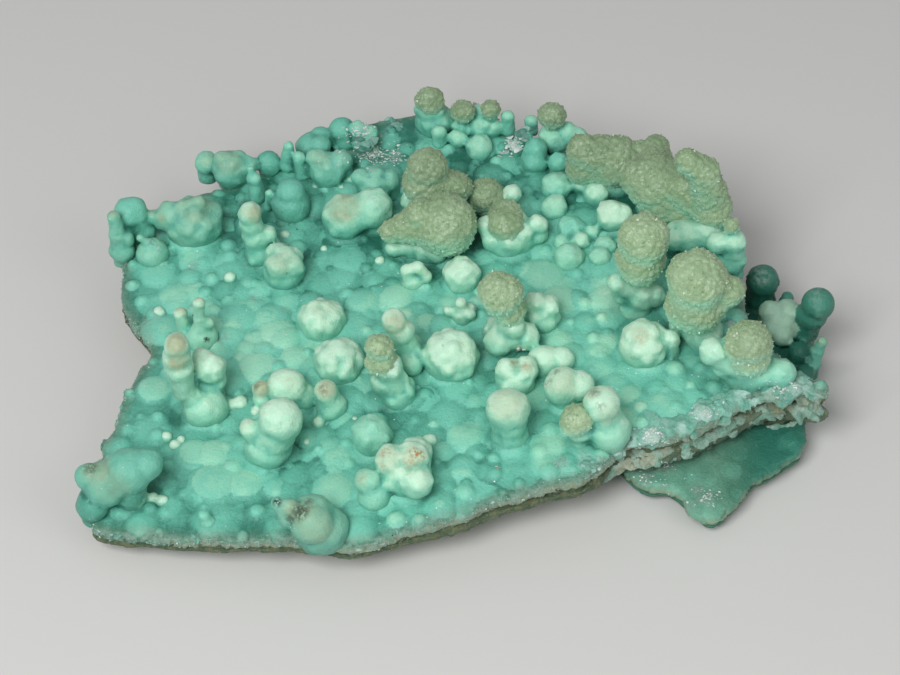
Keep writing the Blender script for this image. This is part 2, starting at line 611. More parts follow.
def grown_together(name, meshes, cell):
    """Merge overlapping closed shapes into one skin on a grid of cells."""
    item = mesh_object(name, *joined(meshes))
    merge = item.modifiers.new("Merge", "REMESH")
    merge.mode = "VOXEL"
    merge.voxel_size = cell * MM
    apply_modifiers(item)
    return item


def merged_skin(name, meshes, cell):
    """Merge overlapping closed shapes into one skin, and drop the pockets inside it."""
    item = grown_together(name, meshes, cell)
    drop_small_shells(item)
    return item


def edge_ends(mesh):
    """Give the two points at the ends of each edge."""
    ends = np.empty(len(mesh.edges) * 2, int)
    mesh.edges.foreach_get("vertices", ends)
    return ends.reshape(-1, 2).T


def drop_small_shells(item):
    """Delete the separate shells of a mesh that have too small a part of its points."""
    mesh = item.data
    first, second = edge_ends(mesh)
    label = np.arange(len(mesh.vertices))
    while True:
        low = np.minimum(label[first], label[second])
        new = label.copy()
        np.minimum.at(new, first, low)
        np.minimum.at(new, second, low)
        new = new[new]
        if np.array_equal(new, label):
            break
        label = new
    names, counts = np.unique(label, return_counts=True)
    small = names[counts < SMALL_SHELL * counts.sum()]
    if len(small):
        work_on(item)
        bpy.ops.object.mode_set(mode="EDIT")
        bpy.ops.mesh.select_mode(type="VERT")
        bpy.ops.object.mode_set(mode="OBJECT")
        mesh.vertices.foreach_set("select", np.isin(label, small))
        bpy.ops.object.mode_set(mode="EDIT")
        bpy.ops.mesh.delete(type="VERT")
        bpy.ops.object.mode_set(mode="OBJECT")


def points_of(item):
    """Give an object's points in millimetres and its point normals."""
    mesh = item.data
    count = len(mesh.vertices)
    points, normals = np.empty(count * 3), np.empty(count * 3)
    mesh.vertices.foreach_get("co", points)
    mesh.vertex_normals.foreach_get("vector", normals)
    return points.reshape(-1, 3) / MM, normals.reshape(-1, 3)


def move_points(item, points):
    """Move an object's points to new places in millimetres."""
    item.data.vertices.foreach_set("co", (points * MM).ravel())
    item.data.update()


def set_attribute(item, name, values):
    """Store a value from 0 to 1 for each point, for the material to read."""
    layer = item.data.attributes.new(name, "FLOAT", "POINT")
    layer.data.foreach_set("value", np.clip(values, 0.0, 1.2).astype(np.float32))


def smooth_shaded(item):
    """Shade an object smooth."""
    work_on(item)
    bpy.ops.object.shade_smooth()


def relax(item, rounds):
    """Smooth the steps that the grid leaves on a skin."""
    smooth = item.modifiers.new("Relax", "SMOOTH")
    smooth.factor = 0.5
    smooth.iterations = rounds
    apply_modifiers(item)


def thin_out(item):
    """Bring a piece under its number of triangles."""
    now = sum(len(face.vertices) - 2 for face in item.data.polygons)
    most = MOST_TRIANGLES[item.name]
    if now > most:
        fewer = item.modifiers.new("Fewer faces", "DECIMATE")
        fewer.ratio = most / now
        fewer.use_collapse_triangulate = True
        apply_modifiers(item)


def roughness_at(points, grain, octaves=3):
    """Give a noise value for each point, with lumps of a size in millimetres."""
    values = np.zeros(len(points))
    for octave in range(octaves):
        scale = 2 ** octave / grain
        values += [noise(Vector(point * scale)) / 2 ** octave for point in points]
    return values


def lumps_at(points, size):
    """Give a bulge from 0 to 1 for each point, from rounded lumps of a size that meet in creases."""
    nearest = np.array([voronoi(Vector(point / size))[0][0] for point in points])
    return 1 - nearest ** 2 * 1.6


def chips_at(points, size):
    """Give a height for each point on a broken face of flat, tilted chips of a size in millimetres."""
    values = []
    for point in points / size:
        place = Vector(point)
        seed = voronoi(place)[1][0]
        values.append(noise(seed * 3.7) * 1.3 + (place - seed).dot(noise_vector(seed * 7.3)) * 1.2)
    return np.array(values)


def smooth_step(low, high, values):
    """Run from 0 at low to 1 at high with soft ends."""
    t = np.clip((values - low) / (high - low), 0.0, 1.0)
    return t * t * (3 - 2 * t)


def in_blocks(measure, points):
    """Measure many points, a block of them at a time."""
    return np.concatenate([measure(points[start:start + BLOCK]) for start in range(0, len(points), BLOCK)])


def nearest_balls(points, balls):
    """Give the number of the ball that is nearest to each point."""
    centres, radii = balls[:, :3], balls[:, 3]
    squares = (centres ** 2).sum(1)

    def nearest(part):
        away = (part ** 2).sum(1)[:, None] + squares - 2 * part @ centres.T
        return (np.sqrt(np.maximum(away, 0)) - radii).argmin(1)

    return in_blocks(nearest, points)


def unit_vectors(vectors):
    """Bring each vector to length 1."""
    return vectors / np.linalg.norm(vectors, axis=1)[:, None]


def height_over(plane, points):
    """Give each point's height over a plane."""
    return points[:, 2] - height_on(plane, points[:, 0], points[:, 1])


def standing_out(item, rounds):
    """Give by how many millimetres each point stands out of its own surface smoothed by so many rounds."""
    first, second = edge_ends(item.data)
    ends = np.concatenate((first, second))
    others = np.concatenate((second, first))
    points, normals = points_of(item)
    count = np.bincount(ends, minlength=len(points))[:, None]
    soft = points
    for turn in range(rounds):
        total = np.column_stack([np.bincount(ends, soft[others, axis], len(points)) for axis in range(3)])
        soft = 0.3 * soft + 0.7 * total / np.maximum(count, 1)
    return ((points - soft) * normals).sum(1)


class HeightMap:
    """The specimen's height from above, blurred, to tell how far a point is sunk between its neighbours."""

    cell = 0.75
    half_width = 90.0

    def __init__(self, balls):
        count = int(2 * self.half_width / self.cell)
        grid = (np.arange(count) + 0.5) * self.cell - self.half_width
        x, y = np.meshgrid(grid, grid, indexing="ij")
        height = CRUST.height + CRUST.rise_right * x + CRUST.rise_back * y
        middle, outline = CRUST_RIM[0].mean(0), CRUST_RIM[0]
        angle = np.arctan2(outline[:, 1] - middle[1], outline[:, 0] - middle[0])
        order = np.argsort(angle)
        reach = np.hypot(*(outline - middle).T)
        here = np.arctan2(y - middle[1], x - middle[0])
        edge = np.interp(here, angle[order], reach[order], period=2 * math.pi)
        height[np.hypot(x - middle[0], y - middle[1]) > edge] = 0.0
        for bx, by, bz, radius in balls:
            near = radius * radius - (x - bx) ** 2 - (y - by) ** 2
            height = np.where(near > 0, np.maximum(height, bz + np.sqrt(np.maximum(near, 0))), height)
        self.sharp = self.blurred(height, 0.9)
        self.wide = self.blurred(height, 4.5)

    def blurred(self, grid, sigma):
        """Blur a grid by a sigma in millimetres."""
        reach = int(3 * sigma / self.cell)
        kernel = np.exp(-0.5 * (np.arange(-reach, reach + 1) * self.cell / sigma) ** 2)
        kernel /= kernel.sum()
        for axis in (0, 1):
            grid = np.apply_along_axis(np.convolve, axis, grid, kernel, "same")
        return grid

    def at(self, grid, points):
        """Read a grid over each point, blended between its cells."""
        place = np.clip((points[:, :2] + self.half_width) / self.cell - 0.5, 0.0, grid.shape[0] - 1.001)
        x, y = place.astype(int).T
        right, back = (place % 1.0).T
        front_row = grid[x, y] * (1 - right) + grid[x + 1, y] * right
        back_row = grid[x, y + 1] * (1 - right) + grid[x + 1, y + 1] * right
        return front_row * (1 - back) + back_row * back

    def sunk(self, points):
        """Give how deep each point is below what is round it and above it, in millimetres."""
        return np.maximum(self.at(self.wide, points), self.at(self.sharp, points) - 1.0) - points[:, 2]


ALL_BALLS = rows([ball for shape in CRUST_SHAPES + LEDGE_SHAPES for ball in shape.balls + shape.caps])
HEIGHTS = HeightMap(ALL_BALLS)


def hit_points(item, spots):
    """Find where the sight lines through some spots meet an object, in millimetres."""
    found = []
    for spot in spots:
        hit, place, normal, face = item.ray_cast(EYE * MM, sight_line(spot).normalized())
        if hit:
            found.append((*(place / MM), real_radius(spot[2], place / MM), spot[3]))
    return found


def painted(points, spots):
    """Give how strongly each point is inside round spots, each as x, y, z, radius and strength."""
    values = np.zeros(len(points))
    for x, y, z, radius, strength in spots:
        away = np.linalg.norm(points - (x, y, z), axis=1)
        values = np.maximum(values, strength * (1 - smooth_step(0.45 * radius, 1.15 * radius, away)))
    return values


# Settings

def length(name, description, millimetres):
    """Describe one length."""
    return FloatProperty(name=name, description=description, default=millimetres * MM, min=0.0, precision=5,
                         subtype="DISTANCE", unit="LENGTH")


def colour(name, description, default):
    """Describe one colour."""
    return FloatVectorProperty(name=name, description=description, default=default, subtype="COLOR", size=3,
                               min=0.0, max=1.0)


class AragoniteCrustSettings(bpy.types.PropertyGroup):
    """Sizes of the crust's domes."""

    voxel: length("Grain of the mesh", "Size of the cells that merge the domes", 0.42)
    thickness: length("Thickness", "Thickness of the crust's own layer", 3.0)
    dome_spacing: length("Dome spacing", "Distance between the middles of the domes", 5.2)
    dome_smallest: length("Smallest dome", "Smallest dome's radius", 2.6)
    dome_largest: length("Largest dome", "Largest dome's radius", 5.4)
    seed: IntProperty(name="Seed", description="Which random set of domes is drawn", default=5, min=0)


class AragoniteColours(bpy.types.PropertyGroup):
    """Colours of the specimen."""

    crevice: colour("Crevice", "Deep green where little light reaches", (0.018, 0.145, 0.098))
    deep: colour("Deep teal", "The crust's own blue-green in its darkest parts", (0.035, 0.21, 0.15))
    teal: colour("Teal", "The crust's own blue-green", (0.145, 0.51, 0.39))
    aqua: colour("Aqua", "The paler domes of the crust", (0.22, 0.66, 0.515))
    mint: colour("Mint", "The knobs' pale green", (0.375, 0.78, 0.585))
    cream: colour("Cream", "The palest tops of the knobs", (0.64, 0.93, 0.72))
    tan: colour("Tan", "The weathered tips", (0.41, 0.43, 0.26))
    rust: colour("Rust", "Rusty spots", (0.48, 0.23, 0.05))
    soot: colour("Soot", "Near-black spots", (0.02, 0.02, 0.015))
    frost: colour("Frost", "Freshly broken, sparkling edges", (0.31, 0.435, 0.37))
    sugar: colour("Sugar", "The sugary caps", (0.30, 0.45, 0.25))
    sugar_pale: colour("Pale sugar", "The sugary caps' edges and grains", (0.42, 0.58, 0.36))
    rock: colour("Rock", "The rock under the crust", (0.075, 0.085, 0.035))
    ochre: colour("Ochre", "Rusty bands in the rock", (0.16, 0.14, 0.06))
    floor: colour("Floor", "The plain pale floor", (0.72, 0.72, 0.70))


class AragoniteStageSettings(bpy.types.PropertyGroup):
    """Strengths of the studio's lights."""

    key: FloatProperty(name="Key light", description="Power of the large front light", default=5.2,
                       unit="POWER")
    fill: FloatProperty(name="Fill light", description="Power of the side light", default=0.9,
                        unit="POWER")
    sky: FloatProperty(name="Surrounding light", description="Strength of the even light", default=0.25)


# Materials

class Wire:
    """A value in a shader, on which Python's own operators add Math nodes."""

    def __init__(self, shader, socket):
        self.shader = shader
        self.socket = socket

    def _math(self, operation, *values):
        return self.shader.add("ShaderNodeMath", {"operation": operation}, *values)

    def __add__(self, other):
        return self._math("ADD", self, other)

    def __sub__(self, other):
        return self._math("SUBTRACT", self, other)

    def __rsub__(self, other):
        return self._math("SUBTRACT", other, self)

    def __mul__(self, other):
        return self._math("MULTIPLY", self, other)

    def step(self, low, high):
        """Run smoothly from 0 at low to 1 at high."""
        settings = {"interpolation_type": "SMOOTHSTEP"}
        return self.shader.add("ShaderNodeMapRange", settings, self, low, high, 0.0, 1.0)

    __radd__ = __add__
    __rmul__ = __mul__


class Shader:
    """A material in the making: it adds nodes, links them and sets the Principled shader's own sockets."""

    def __init__(self, name, **constants):
        self.material = bpy.data.materials.new(name)
        self.material.use_nodes = True
        self.tree = self.material.node_tree
        self.principled = self.tree.nodes["Principled BSDF"]
        for socket, value in constants.items():
            self.principled.inputs[socket.replace("_", " ")].default_value = value
        self.place = self.add("ShaderNodeTexCoord", {}, output="Object")

    def add(self, kind, settings, *values, output=0):
        """Add a node with its settings, then set or link its first sockets, and return one output."""
        node = self.tree.nodes.new(kind)
        for setting, value in settings.items():
            setattr(node, setting, value)
        for socket, value in zip((s for s in node.inputs if s.enabled), values):
            if isinstance(value, Wire):
                self.tree.links.new(value.socket, socket)
            elif value is not None:
                socket.default_value = value
        outputs = [socket for socket in node.outputs if socket.enabled]
        chosen = node.outputs[output] if isinstance(output, str) else outputs[output]
        return Wire(self, chosen)

    def attribute(self, name):
        """Read a value stored on the mesh's points."""
        return self.add("ShaderNodeAttribute", {"attribute_name": name}, output="Fac")

    def noise(self, size_mm, detail=3.0, roughness=0.5):
        """Give a soft noise with lumps of a size in millimetres."""
        scale = 1 / (size_mm * MM)
        return self.add("ShaderNodeTexNoise", {}, self.place, scale, detail, roughness, output="Fac")

    def cells(self, size_mm, output="Distance"):
        """Give a pattern of cells of a size in millimetres."""
        return self.add("ShaderNodeTexVoronoi", {}, self.place, 1 / (size_mm * MM), output=output)

    def blend(self, factor, low, high):
        """Mix two colours."""
        low, high = (value if isinstance(value, Wire) else (*value, 1.0) for value in (low, high))
        return self.add("ShaderNodeMix", {"data_type": "RGBA", "clamp_factor": True}, factor, low, high)

    def colour(self, wire):
        """Send a colour to the surface."""
        self.tree.links.new(wire.socket, self.principled.inputs["Base Color"])

    def roughness(self, wire):
        """Send a value to the roughness."""
        self.tree.links.new(wire.socket, self.principled.inputs["Roughness"])

    def relief(self, wire, height_mm):
        """Turn a value into fine relief."""
        bump = self.add("ShaderNodeBump", {}, 1.0, height_mm * MM, None, wire)
        self.tree.links.new(bump.socket, self.principled.inputs["Normal"])


def aragonite_material(colours):
    """Mix the waxy blue-green of the crust and its knobs from what each point's attributes say."""
    s = Shader("waxy_aragonite", IOR=1.5, Subsurface_Weight=0.5, Subsurface_Scale=0.0011,
               Subsurface_Radius=(0.45, 1.0, 0.8), Specular_IOR_Level=0.4)
    mottle = s.noise(3.2, 4.0) - 0.5
    fine = s.noise(0.7, 3.0) - 0.5
    grain = s.noise(0.3, 2.0, 0.6) - 0.5
    carpet = s.attribute("carpet")
    discs = (1 - s.cells(6.5).step(0.33, 0.36)) + (1 - s.cells(3.7).step(0.30, 0.34)) * 0.7
    pale = s.attribute("pale") + mottle * 0.24 + fine * 0.15 + grain * 0.22 + carpet * discs * 0.07
    deep = s.attribute("deep")
    shade = s.blend(pale.step(0.0, 0.32), colours.deep, colours.teal)
    shade = s.blend(pale.step(0.26, 0.52), shade, colours.aqua)
    shade = s.blend(pale.step(0.48, 0.80), shade, colours.mint)
    shade = s.blend(pale.step(0.76, 1.04), shade, colours.cream)
    shade = s.blend(deep * 0.85, shade, colours.crevice)
    tan = s.attribute("tan")
    shade = s.blend(tan * (0.75 + mottle * 1.2), shade, colours.tan)
    crumbs = s.noise(0.8, 4.0, 0.7)
    shade = s.blend(s.attribute("rust") * (crumbs.step(0.42, 0.6)), shade, colours.rust)
    shade = s.blend(s.attribute("soot") * (crumbs.step(0.40, 0.52)), shade, colours.soot)
    frost = s.attribute("frost")
    grains = s.cells(0.5, "Color")
    frosting = frost * (s.noise(1.1, 4.0, 0.7).step(0.38, 0.62))
    shade = s.blend(frosting, shade, colours.frost)
    specks = (1 - s.cells(1.9).step(0.05, 0.10)) * s.noise(6.0).step(0.48, 0.62)
    shade = s.blend(specks * (carpet * 0.6 + 0.4), shade, (0.9, 0.97, 0.93))
    dots = (1 - s.cells(11.0).step(0.012, 0.02)) * carpet
    shade = s.blend(dots, shade, colours.soot)
    s.colour(shade)
    s.roughness(0.42 + grain * 0.5 + frost * -0.12)
    s.relief(fine + grain * 0.8 + frost * grains * 1.6, 0.16)
    return s.material


def mint_and_shaded(s, shade, colours):
    """Turn a cap's colour to mint at its lower edge, and darken it in its shaded places."""
    shade = s.blend(s.attribute("mint"), shade, colours.mint)
    return s.blend(s.attribute("shade") * 0.62, shade, tuple(0.36 * part for part in colours.sugar))


def sugar_material(colours):
    """Mix the olive-beige of the sugary caps."""
    s = Shader("sugary_bodies", Roughness=0.36, IOR=1.53, Subsurface_Weight=0.25, Subsurface_Scale=0.0015,
               Subsurface_Radius=(1.0, 1.0, 0.7))
    tint = s.noise(5.0, 4.0, 0.6)
    grain = s.noise(0.45, 2.0, 0.6)
    shade = s.blend(tint.step(0.35, 0.68), colours.sugar, colours.sugar_pale)
    shade = s.blend(grain.step(0.52, 0.75) * 0.6, shade, colours.sugar_pale)
    shade = s.blend((1 - grain.step(0.28, 0.42)) * 0.25, shade, colours.rock)
    s.colour(mint_and_shaded(s, shade, colours))
    s.relief(grain + s.cells(0.4) * 0.8, 0.06)
    return s.material


def crystal_material(colours):
    """Mix the paler olive of the single grains on the caps."""
    s = Shader("sugary_grains", Roughness=0.28, IOR=1.6, Subsurface_Weight=0.2, Subsurface_Scale=0.001,
               Subsurface_Radius=(1.0, 1.0, 0.7))
    tint = s.noise(4.0, 4.0, 0.6)
    shade = s.blend(tint.step(0.35, 0.7), colours.sugar, colours.sugar_pale)
    shade = s.blend(s.noise(0.6, 1.0).step(0.45, 0.8) * 0.5, shade, (0.62, 0.72, 0.52))
    s.colour(mint_and_shaded(s, shade, colours))
    s.relief(s.noise(0.2, 2.0), 0.02)
    return s.material


def rock_material(colours):
    """Mix the rock under the crust: dull brown with rusty and pale bands."""
    s = Shader("brown_rock", Roughness=0.85, IOR=1.5)
    lumps = s.noise(2.2, 5.0, 0.65)
    fine = s.noise(0.5, 4.0, 0.7)
    shade = s.blend(lumps.step(0.42, 0.62), colours.rock, colours.ochre)
    shade = s.blend(fine.step(0.45, 0.75) * 0.5, shade, (0.42, 0.40, 0.28))
    pale = s.attribute("pale_band")
    shade = s.blend(pale * (fine.step(0.2, 0.55)), shade, colours.frost)
    shade = s.blend(s.attribute("moss") * 0.75, shade, colours.deep)
    s.colour(shade)
    s.relief(lumps + fine * 0.6, 0.35)
    return s.material


def frost_material(colours):
    """Mix the white of broken, sparkling grains."""
    s = Shader("broken_grains", Roughness=0.18, IOR=1.6, Subsurface_Weight=0.3, Subsurface_Scale=0.001,
               Subsurface_Radius=(0.8, 1.0, 0.95))
    shade = s.blend(s.noise(1.5, 3.0).step(0.35, 0.7), colours.frost, (0.30, 0.62, 0.50))
    s.colour(shade)
    s.relief(s.noise(0.15, 2.0), 0.02)
    return s.material


def floor_material(colours):
    """Mix the plain pale floor."""
    s = Shader("pale_floor", Roughness=0.9)
    s.colour(s.blend(s.noise(120.0, 2.0) * 0.2, colours.floor, tuple(0.97 * c for c in colours.floor)))
    return s.material


def dress(item, material):
    """Give a piece its material and its slot, let it ride on the specimen's body and stand for its solid."""
    item.data.materials.clear()
    item.data.materials.append(material)
    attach(item, "root")
    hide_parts(NODE)


def material_once(name, make, context):
    """Use the material of this name that an earlier operator made, or make it."""
    return bpy.data.materials.get(name) or make(context.scene.aragonite_colours)


# Crust

def inside(places, outline):
    """Tell which places are inside a closed outline."""
    x, y = places[:, 0], places[:, 1]
    hit = np.zeros(len(places), bool)
    for (x1, y1), (x2, y2) in zip(outline, np.roll(outline, -1, 0)):
        crosses = (y1 > y) != (y2 > y)
        if y1 != y2:
            hit ^= crosses & (x < (x2 - x1) * (y - y1) / (y2 - y1) + x1)
    return hit


# How deep a low dome's lower half reaches, and how far down it counts beside itself, in millimetres.
DOME_DEPTH = 1.8
OFF_DOME = 9.0


def domes_mesh(domes, template):
    """Put a flattened copy of the template ball on each row of x, y, z, width and height."""
    points, faces = template
    return copies(domes[:, None, :3] + points[None] * domes[:, None, [3, 3, 4]], faces)


def top_domes(points, domes):
    """Give the dome that is on top over each point, and by how many millimetres it stands over the next."""
    def topmost(part):
        away = ((part[:, None, :2] - domes[None, :, :2]) ** 2).sum(2) / domes[:, 3] ** 2
        height = domes[:, 2] + domes[:, 4] * np.sqrt(np.maximum(1 - away, 0.0)) - OFF_DOME * (away > 1)
        lower, upper = np.partition(height, -2, axis=1)[:, -2:].T
        return np.column_stack((height.argmax(1), upper - lower))

    owner, gap = in_blocks(topmost, points).T
    return owner.astype(int), gap


def strewn_domes(outline, plane, spacing, smallest, largest, lowest, highest, draw):
    """Cover a surface with low domes in staggered rows, each moved a little, and give their sizes."""
    low, high = outline.min(0), outline.max(0)
    middle = outline.mean(0)
    row_step = 0.87 * spacing
    balls = []
    for row in range(int((high[1] - low[1]) / row_step) + 2):
        for column in range(int((high[0] - low[0]) / spacing) + 2):
            place = low + ((column + 0.5 * (row % 2)) * spacing, row * row_step)
            place = place + draw.uniform(-0.32 * spacing, 0.32 * spacing, 2)
            radius = draw.uniform(smallest, largest)
            top = height_on(plane, *place) + draw.uniform(lowest, highest)
            outward = (place - middle) / np.linalg.norm(place - middle)
            if inside((place + outward * 0.85 * radius)[None], outline)[0]:
                balls.append((*place, top - DOME_DEPTH, radius, DOME_DEPTH))
    return np.array(balls)


def seen_domes():
    """Place the crust's larger domes where they are seen."""
    balls = []
    for seen in SEEN_DOMES:
        centre = seen_on_plane(seen, CRUST)
        radius = 1.15 * real_radius(seen[2], centre)
        balls.append((centre.x, centre.y, centre.z + 0.34 * radius - DOME_DEPTH, radius, DOME_DEPTH))
    return np.array(balls)


# Rings down the crust's broken side, in millimetres: how far in from the rim, and how far down.
CRUST_SIDE = ((0.9, 0.0), (0.3, 0.25), (0.0, 0.9), (0.05, 1.7), (0.2, 2.4), (1.4, 2.8))


def mounds():
    """Raise the crust a little round the foot of each knob that stands well inside the rim."""
    balls = []
    for shape in CRUST_SHAPES:
        foot, radius = shape.columns[0][:2]
        top = height_on(CRUST, foot.x, foot.y) + 0.42 * radius
        balls.append((foot.x, foot.y, top - DOME_DEPTH, 1.28 * radius, DOME_DEPTH))
    balls = np.array(balls)
    return balls[edge_distance(balls, CRUST_RIM) > 0.9 * balls[:, 3]]


def slab_mesh(rim, plane):
    """Build a thin closed slab under a plane, with a broken side at its rim."""
    places, thickness = rounded_rim(*rim, 1.0)
    middle = places.mean(0)
    inward = unit_vectors(middle - places)
    depth = 1 + (thickness - THIN_RIM) / 16
    rings = []
    for inset, drop in CRUST_SIDE:
        flat = places + inward * (inset + 0.25)
        rings.append(np.column_stack((flat, height_on(plane, flat[:, 0], flat[:, 1]) - drop * depth)))
    return np.concatenate(rings), ring_faces(len(rings), len(places))


def ring_faces(rings, count):
    """Join rings of points, one under the next, with four-sided faces, and close the top and the bottom."""
    faces = []
    for ring in range(rings - 1):
        for index in range(count):
            here, after = ring * count + index, ring * count + (index + 1) % count
            faces.append((here, here + count, after + count, after))
    last = (rings - 1) * count
    faces.append(tuple(range(count)))
    faces.append(tuple(range(last + count - 1, last - 1, -1)))
    return faces


def flat_below(item, plane, depth):
    """Cut off what hangs under a slab."""
    points, normals = points_of(item)
    floor = height_on(plane, points[:, 0], points[:, 1]) - depth
    points[:, 2] = np.maximum(points[:, 2], floor)
    move_points(item, points)


def edge_distance(points, rim):
    """Give each point's distance in plan from a rim, in millimetres."""
    places = rounded_rim(*rim, 1.0)[0]
    return in_blocks(lambda part: np.sqrt(((part[:, None, :2] - places[None]) ** 2).sum(2)).min(1), points)


def break_edge(item, rim, plane, reach):
    """Push the side of a slab about, where it is broken, and return how broken each point is."""
    points, normals = points_of(item)
    near = 1 - smooth_step(0.3, reach, edge_distance(points, rim))
    below = -height_over(plane, points)
    broken = near * (1 - smooth_step(0.35, 0.8, normals[:, 2]))
    broken = np.maximum(broken, smooth_step(0.6, 1.2, below) * near)
    push = np.zeros(len(points))
    side = broken > 0.02
    push[side] = chips_at(points[side], 2.4) * 0.55 + chips_at(points[side], 0.9) * 0.25
    push = np.clip(push, -0.9, 0.6) * broken
    move_points(item, points + normals * (1, 1, 0.5) * push[:, None])
    return broken


# Broken, sparkling patches of the crust as they are seen: place, radius and strength.
FROST_SPOTS = ((662, 430, 17, 0.9), (645, 437, 11, 0.8), (702, 416, 15, 0.9), (682, 432, 10, 0.7),
               (735, 408, 12, 0.6), (760, 398, 11, 0.7), (790, 388, 13, 0.9), (812, 388, 10, 0.9),
               (640, 452, 12, 0.8), (622, 462, 10, 0.9), (600, 464, 12, 0.7), (572, 480, 13, 0.6),
               (540, 492, 12, 0.5), (500, 506, 10, 0.5), (470, 516, 10, 0.45), (250, 538, 9, 0.4),
               (285, 540, 9, 0.4), (190, 538, 8, 0.35), (150, 535, 8, 0.35), (372, 154, 14, 0.9),
               (352, 150, 10, 0.8), (395, 158, 9, 0.7), (475, 100, 18, 0.8), (455, 98, 10, 0.9),
               (515, 142, 12, 0.8), (560, 462, 12, 0.6), (585, 458, 10, 0.6), (192, 267, 8, 0.5),
               (229, 277, 9, 0.5), (257, 299, 9, 0.55), (285, 310, 6, 0.5), (158, 313, 9, 0.5),
               (140, 325, 14, 0.6), (128, 318, 9, 0.6), (133, 283, 8, 0.4), (432, 443, 11, 0.5),
               (205, 336, 16, 0.5), (222, 338, 8, 0.5), (150, 240, 14, 0.5), (235, 404, 12, 0.45))

# How pale the crust is round some places as they are seen.
CRUST_TONES = ((300, 470, 0.34), (230, 495, 0.35), (250, 340, 0.54), (150, 300, 0.38), (480, 165, 0.2),
               (400, 135, 0.17), (330, 265, 0.16), (420, 300, 0.5), (600, 310, 0.56), (520, 460, 0.38),
               (165, 260, 0.44), (245, 210, 0.12), (300, 230, 0.16), (575, 190, 0.2), (575, 290, 0.46),
               (640, 390, 0.54), (700, 375, 0.5), (550, 170, 0.15), (380, 165, 0.16), (130, 330, 0.36),
               (135, 400, 0.42), (350, 420, 0.36), (440, 460, 0.34), (350, 505, 0.42), (110, 525, 0.36),
               (760, 390, 0.3), (700, 250, 0.15), (450, 240, 0.24), (200, 280, 0.36), (200, 440, 0.46))


def tone_at(points):
    """Blend the crust's tones between the places where they are given."""
    places = np.array([tuple(seen_on_plane(seen, CRUST))[:2] for seen in CRUST_TONES])
    tones = np.array([seen[2] for seen in CRUST_TONES])
    away = ((points[:, None, :2] - places) ** 2).sum(2) + 4.0
    weight = away ** -1.5
    return (weight * tones).sum(1) / weight.sum(1)


def shade_crust(item, domes, tones, broken):
    """Store what the material reads: how pale, how deep in a hollow and how broken each point is."""
    points, normals = points_of(item)
    owner, gap = top_domes(points, domes)
    crease = 1 - smooth_step(0.0, 0.1, gap)
    height = height_over(CRUST, points)
    side = smooth_step(0.3, 1.0, -height)
    sunk = HEIGHTS.sunk(points)
    shade = smooth_step(1.5, 8.0, sunk)
    near = 1 - smooth_step(0.2, 3.2, edge_distance(points, CRUST_RIM))
    own = 0.34 * (tones[owner] - 0.42) + 0.24 * (smooth_step(-0.1, 1.2, height) - 0.4)
    light = tone_at(points) + own - 0.14 * shade - 0.12 * near
    set_attribute(item, "pale", light)
    deepest = smooth_step(4.0, 10.0, sunk)
    set_attribute(item, "deep", 0.16 * crease + 0.26 * shade + 0.12 * deepest + 0.3 * side)
    frost = np.maximum(0.8 * broken, painted(points, hit_points(item, FROST_SPOTS)))
    set_attribute(item, "frost", np.maximum(frost, 0.5 * near))
    set_attribute(item, "carpet", 1 - side)
    right = smooth_step(-60.0, -52.0, points[:, 0])
    set_attribute(item, "tan", np.maximum(0.2 * near, 0.8 * side * right))
    for name in ("rust", "soot"):
        set_attribute(item, name, np.zeros(len(points)))


class ARAGONITE_OT_crust(bpy.types.Operator):
    """Model the crust: a thin broken slab covered with low domes that run into each other."""

    bl_idname = "aragonite.crust"
    bl_label = "Crust"

    def execute(self, context):
        sizes = context.scene.aragonite_crust
        draw = np.random.default_rng(sizes.seed)
        places = rounded_rim(*CRUST_RIM, 1.5)[0]
        spacing = sizes.dome_spacing / MM
        smallest, largest = sizes.dome_smallest / MM, sizes.dome_largest / MM
        wide = strewn_domes(places, CRUST, spacing, smallest, largest, 0.2, 1.3, draw)
        small = strewn_domes(places, CRUST, 1.1 * spacing, 0.45 * smallest, 0.85 * smallest, 0.6, 1.6, draw)
        seen, footed = seen_domes(), mounds()
        domes = np.concatenate((seen, footed, wide, small))
        tones = draw.uniform(0.0, 1.0, len(domes)) ** 1.4
        tones[:len(seen)] = draw.uniform(0.62, 0.88, len(seen))
        tones[len(seen):len(seen) + len(footed)] = 0.2
        slab = slab_mesh(CRUST_RIM, CRUST)
        item = merged_skin("crust", [slab, domes_mesh(domes, unit_ball(3))], sizes.voxel / MM)
        flat_below(item, CRUST, sizes.thickness / MM)
        broken = break_edge(item, CRUST_RIM, CRUST, 2.4)
        shade_crust(item, domes, tones, broken)
        thin_out(item)
        smooth_shaded(item)
        dress(item, material_once("waxy_aragonite", aragonite_material, context))
        return {"FINISHED"}


# Knobs

